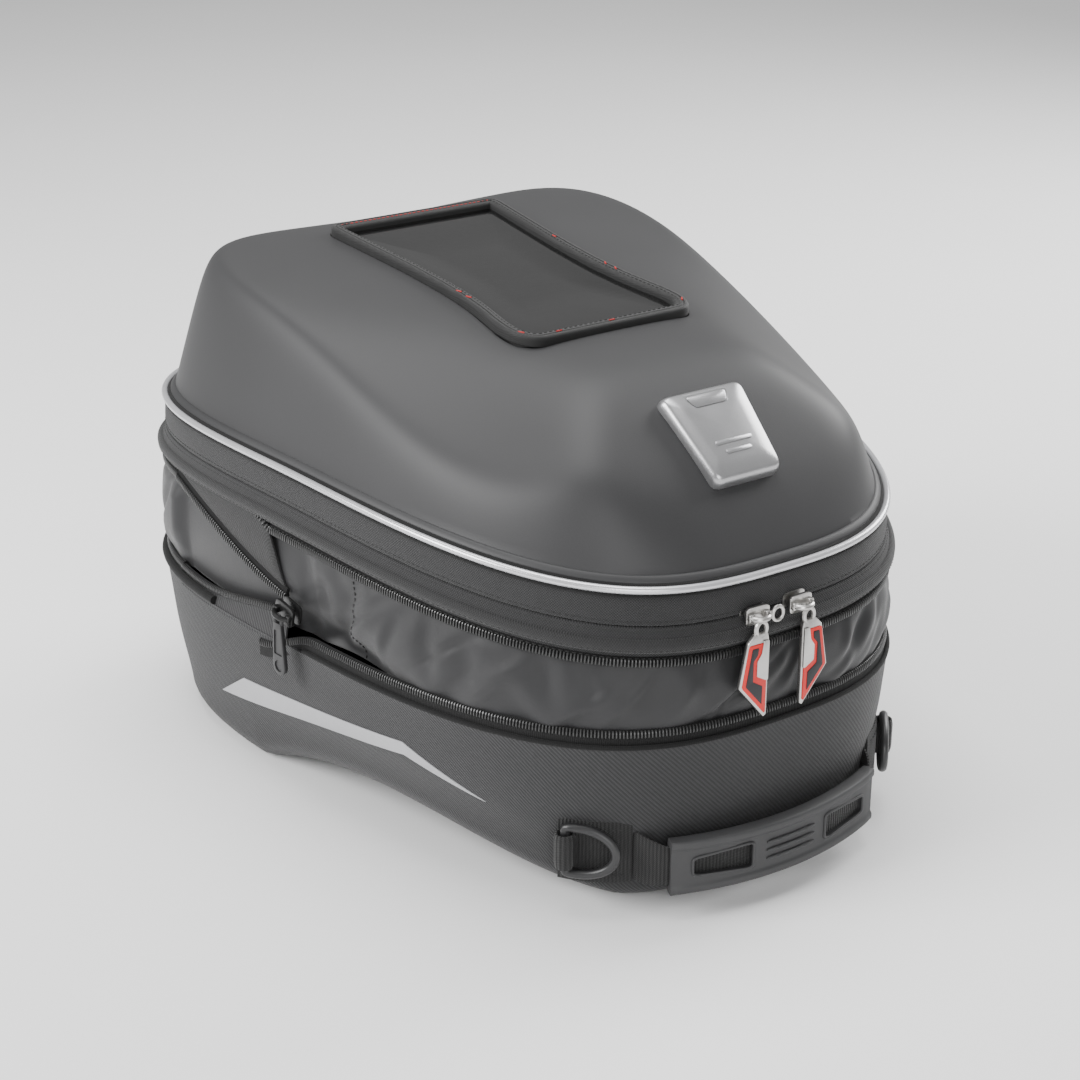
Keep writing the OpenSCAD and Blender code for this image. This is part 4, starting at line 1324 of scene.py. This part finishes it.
def straps():
    for side, word in ((-1, "left"), (1, "right")):
        flip = np.array([side * -1.0, 1, 1]) if side > 0 else np.array([1.0, 1, 1])
        ts = np.linspace(228.0, 244.0, 60)
        off = wall_off(31.0) + 2.6 + 1.0 * np.sin(np.linspace(0, math.pi, 60))
        xy = wall(ts, off + 0 * ts)
        path = np.concatenate([xy, np.full((60, 1), 31.0)], 1)
        n = np.concatenate([normal_at(ts), np.zeros((60, 1))], 1)
        pts = strap_grid(path, n, 15.5, 1.9, 14) * flip
        flat = grid_mesh(pts, ring_v=True, caps=True)
        # loop of the strap round the ring's bar
        p = wall(np.array([230.0]), np.array([5.6]))[0]
        nn = normal_at(np.array([230.0]))[0]
        tangent = np.array([-nn[1], nn[0]])
        a = np.linspace(-0.35 * math.pi, 1.45 * math.pi, 44)
        loop_xy = p + 4.0 * (np.cos(a)[:, None] * nn + np.sin(a)[:, None] * -tangent)
        loop = np.concatenate([loop_xy, np.full((44, 1), 33.0)], 1)
        out3 = on(np.cos(a)[:, None] * nn + np.sin(a)[:, None] * -tangent, 0)
        pts = strap_grid(loop, out3, 8.6, 1.8, 8) * flip
        loop_mesh = grid_mesh(pts, ring_v=True, caps=True)
        mesh = joined([flat, loop_mesh])
        outward(mesh)
        finish_object(f"strap_{word}", mesh, M["webbing"], "lower_body", [f"webbing_{word}"])

        box_t = np.linspace(232.5, 241.5, 30)
        rows_ = []
        for z in (19.5, 42.5):
            o = wall_off(31.0) + 3.7 + 0.85 * np.sin(np.linspace(0.2, 2.8, 30))
            q = np.concatenate([wall(box_t, o), np.full((30, 1), z)], 1) * flip
            nrm = np.concatenate([normal_at(box_t), np.zeros((30, 1))], 1) * flip
            rows_.append(stitches(q, nrm, 2.0, 1.0, 0.28))
        finish_object(f"strap_stitching_{word}", joined(rows_), M["thread"], "lower_body")

        # D-ring: straight bar, two legs and a round bow
        bow_r, bow_x, r = 11.6, 12.0, 2.2
        a = np.linspace(-90, 90, 25)
        arc = [(bow_x * 0.55 + (bow_x * 0.45 + bow_r) * math.cos(math.radians(q)), bow_r * math.sin(math.radians(q)))
               for q in a]
        local = ([(0, h) for h in np.linspace(-bow_r + 2, bow_r - 2, 12)] + [(0.5, bow_r - 0.5), (2.5, bow_r)]
                 + arc[::-1] + [(2.5, -bow_r), (0.5, -bow_r + 0.5)])
        xy = p + np.array([q[0] for q in local])[:, None] * tangent
        path = np.concatenate([xy, np.array([[33.0 + q[1]] for q in local])], 1)
        path = path * flip
        up = np.array([nn[0], nn[1], 0]) * flip
        mesh = tube_mesh(path, r, 12, ring=True, up=up)
        finish_object(f"ring_{word}", mesh, M["ring_plastic"], f"{word}_ring",
                      [f"d_ring_{word}"])


GRIP_R = 157.0
GRIP_Y = -44.0
GRIP_Z = 26.0


def grip_point(a, r, z):
    q = np.radians(a)
    return np.stack([r * np.sin(q), GRIP_Y - r * np.cos(q), GRIP_Z + z], -1)


def grip():
    angles = np.linspace(-22, 22, 121)
    h = 13.5
    face = 4.0
    prof = rounded([(face, -h + 0.5), (face, -h + 3.6), (face - 1.0, -h + 4.8), (face - 1.0, h - 4.8),
                    (face, h - 3.6), (face, h - 0.5), (face - 2, h), (-face + 1.5, h), (-face, h - 2),
                    (-face, -h + 2), (-face + 1.5, -h), (face - 2, -h)], 1.0, 3)
    rows_ = []
    for a in angles:
        flare = smooth((abs(a) - 19.5) / 2.5)
        lift = 1 + 0.02 * flare
        thin = 1 - 0.12 * flare
        rows_.append(grip_point(np.full(len(prof), a), GRIP_R + prof[:, 0] * thin, prof[:, 1] * lift))
    body = grid_mesh(np.stack(rows_), ring_v=True, caps=True)
    cutters = []
    rims = []
    for side in (-1, 1):
        a0, a1 = (side * 7.6, side * 18.4)
        hs = (6.2, 4.2)
        corners = rounded([(a0, -hs[0]), (a1, -hs[1]), (a1, hs[1]), (a0, hs[0])], 1.6, 5)
        inner = grip_point(corners[:, 0], GRIP_R - 12, corners[:, 1])
        outer = grip_point(corners[:, 0], GRIP_R + 12, corners[:, 1])
        cutters.append(grid_mesh(np.stack([inner, outer]), ring_v=True, caps=True))
        edge = grip_point(corners[:, 0] + side * 0.0, GRIP_R + face - 0.95, corners[:, 1] * 1.08)
        rims.append(tube_mesh(edge, 0.8, 8, ring=True, up=(0, -1, 0)))
    body = cut(body, cutters)
    ribs = []
    for k in range(3):
        z = -4.2 + 4.2 * k
        a = np.linspace(-5.0, 5.0, 30)
        p = grip_point(a, GRIP_R + face - 0.8, np.full(30, z))
        ribs.append(tube_mesh(p, np.clip(3.2 - np.abs(a) / 1.8, 0.15, 0.95), 8, up=(0, 0, 1)))
    mesh = joined([body] + rims + ribs)
    finish_object("grip_body", mesh, M["rubber"], "handle", ["handle_grip"], 45)

    a = np.linspace(-22.2, 22.2, 160)
    main = grip_point(a, GRIP_R - 0.2, np.zeros(len(a)))
    ends = []
    for side in (-1, 1):
        anchor_t = 244.0 if side < 0 else 296.0
        p1 = wall(np.array([anchor_t]), np.array([wall_off(27.0) + 1.6]))[0]
        p0 = main[0 if side < 0 else -1]
        q = np.linspace(0, 1, 22)[:, None]
        mid = (np.array([p0[0], p0[1], 26.0]) + np.array([p1[0], p1[1], 28.0])) / 2
        mid = mid + np.array([side * 2.0, -2.4, 0])
        curve = (1 - q) ** 2 * p0 + 2 * q * (1 - q) * mid + q * q * np.array([p1[0], p1[1], 29.0])
        ends.append(curve[1:])
    path = np.concatenate([ends[0][::-1], main, ends[1]])
    d = axes_along(path)
    n = unit(np.cross(d, [0, 0, 1.0]))
    width = np.interp(np.abs(path[:, 0]), [56, 62, 70], [9.0, 10.5, 13.0])
    grid = []
    for s_, hs in ((1, np.linspace(-1, 1, 12)), (-1, np.linspace(1, -1, 12))):
        for v in hs:
            lift = np.array([0, 0, 1.0]) * (v * width)[:, None]
            grid.append(path + n * s_ * 0.9 * (1 - 0.5 * abs(v) ** 8) + lift)
    obj = finish_object("handle_strap", grid_mesh(np.stack(grid, 1), ring_v=True, caps=True),
                        M["webbing"], None, ["handle_webbing"])
    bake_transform(obj)


straps()
grip()

# ---- reflective leaves ----

def leaf(side):
    top = [(-123, 45.4), (-79, 62), (43, 49.5), (70, 31.6)]
    low = [(-123, 45.2), (-79, 55), (43, 36), (70, 31.4)]
    ys = np.concatenate([np.linspace(70, 43, 20), np.linspace(43, -79, 60)[1:],
                         np.linspace(-79, -123, 26)[1:]])
    ts = np.array([left_t(y) for y in ys])
    z1 = np.interp(ys, *zip(*top))
    z0 = np.interp(ys, *zip(*low))
    grid = []
    for lift in (1, 0):
        shares = np.linspace(0, 1, 8)
        for q in shares if lift else shares[::-1]:
            z = z0 + q * (z1 - z0)
            p = wall(ts, flank_off(ts, z) + (0.45 if lift else -0.1))
            grid.append(on(p, z))
    pts = np.stack(grid, 1) * (np.array([-1, 1, 1]) if side > 0 else 1)
    return grid_mesh(pts, ring_v=True, caps=True)


for side_value, side_word in ((-1, "left"), (1, "right")):
    finish_object(f"leaf_{side_word}", leaf(side_value), M["reflective"], "lower_body",
                  [f"reflector_{side_word}"], 60)

# ---- CAD nodes that stay, with finished materials ----

KEPT = {
    "base_board": "lining", "dock_plate": "dark_plastic", "dock_pad": "rubber", "dock_backing_ring": "steel",
    "dock_screws": "steel", "dock_latch": "steel", "latch_spring": "steel", "release_tab": "dark_plastic",
}
for node_name, material_name in KEPT.items():
    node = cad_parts[node_name]
    for slot_ in node.material_slots:
        slot_.material = M[material_name]

# ---- stage, light and camera ----

def stage():
    mesh = bpy.data.meshes.new("floor")
    size = 14.0
    corners = [(-size, -size, 0), (size, -size, 0), (size, size, 0), (-size, size, 0)]
    mesh.from_pydata(corners, [], [(0, 1, 2, 3)])
    floor = bpy.data.objects.new("floor", mesh)
    bpy.context.scene.collection.objects.link(floor)
    n = Nodes("floor_pale")
    n.colour(n.noise(n.coordinates(False), 3.0), (0.86, 0.86, 0.86), (0.9, 0.9, 0.9))
    mesh.materials.append(n.set(Roughness=0.9, Specular_IOR_Level=0.1))

    def area(name, place, target, size_, power):
        light = bpy.data.lights.new(name, "AREA")
        light.energy, light.size = power, size_
        obj = bpy.data.objects.new(name, light)
        obj.location = place
        obj.rotation_euler = (Vector(target) - Vector(place)).to_track_quat("-Z", "Y").to_euler()
        bpy.context.scene.collection.objects.link(obj)

    centre = (0, 0, 0.14)
    area("key", (-1.5, 0.35, 1.0), centre, 0.9, 38)
    area("front", (-0.7, -1.7, 0.75), centre, 1.0, 15)
    area("right", (1.5, 0.1, 0.9), centre, 0.8, 24)
    area("top", (0.1, 0.3, 1.9), centre, 1.3, 34)
    world = bpy.data.worlds.new("studio")
    world.use_nodes = True
    world.node_tree.nodes["Background"].inputs[0].default_value = (1, 1, 1, 1)
    world.node_tree.nodes["Background"].inputs[1].default_value = 0.5
    bpy.context.scene.world = world


def camera():
    data = bpy.data.cameras.new("camera")
    data.lens, data.sensor_width = 73.33, 36.0
    obj = bpy.data.objects.new("camera", data)
    azimuth, elevation, distance = math.radians(-34.77), math.radians(22.92), 0.9565
    target = Vector((-0.08479, -0.12628, 0.16786))
    back = Vector((math.sin(azimuth) * math.cos(elevation), -math.cos(azimuth) * math.cos(elevation),
                   math.sin(elevation)))
    obj.location = target + back * distance
    obj.rotation_euler = (-back).to_track_quat("-Z", "Y").to_euler()
    data.clip_end = 60
    bpy.context.scene.collection.objects.link(obj)
    bpy.context.scene.camera = obj


stage()
camera()
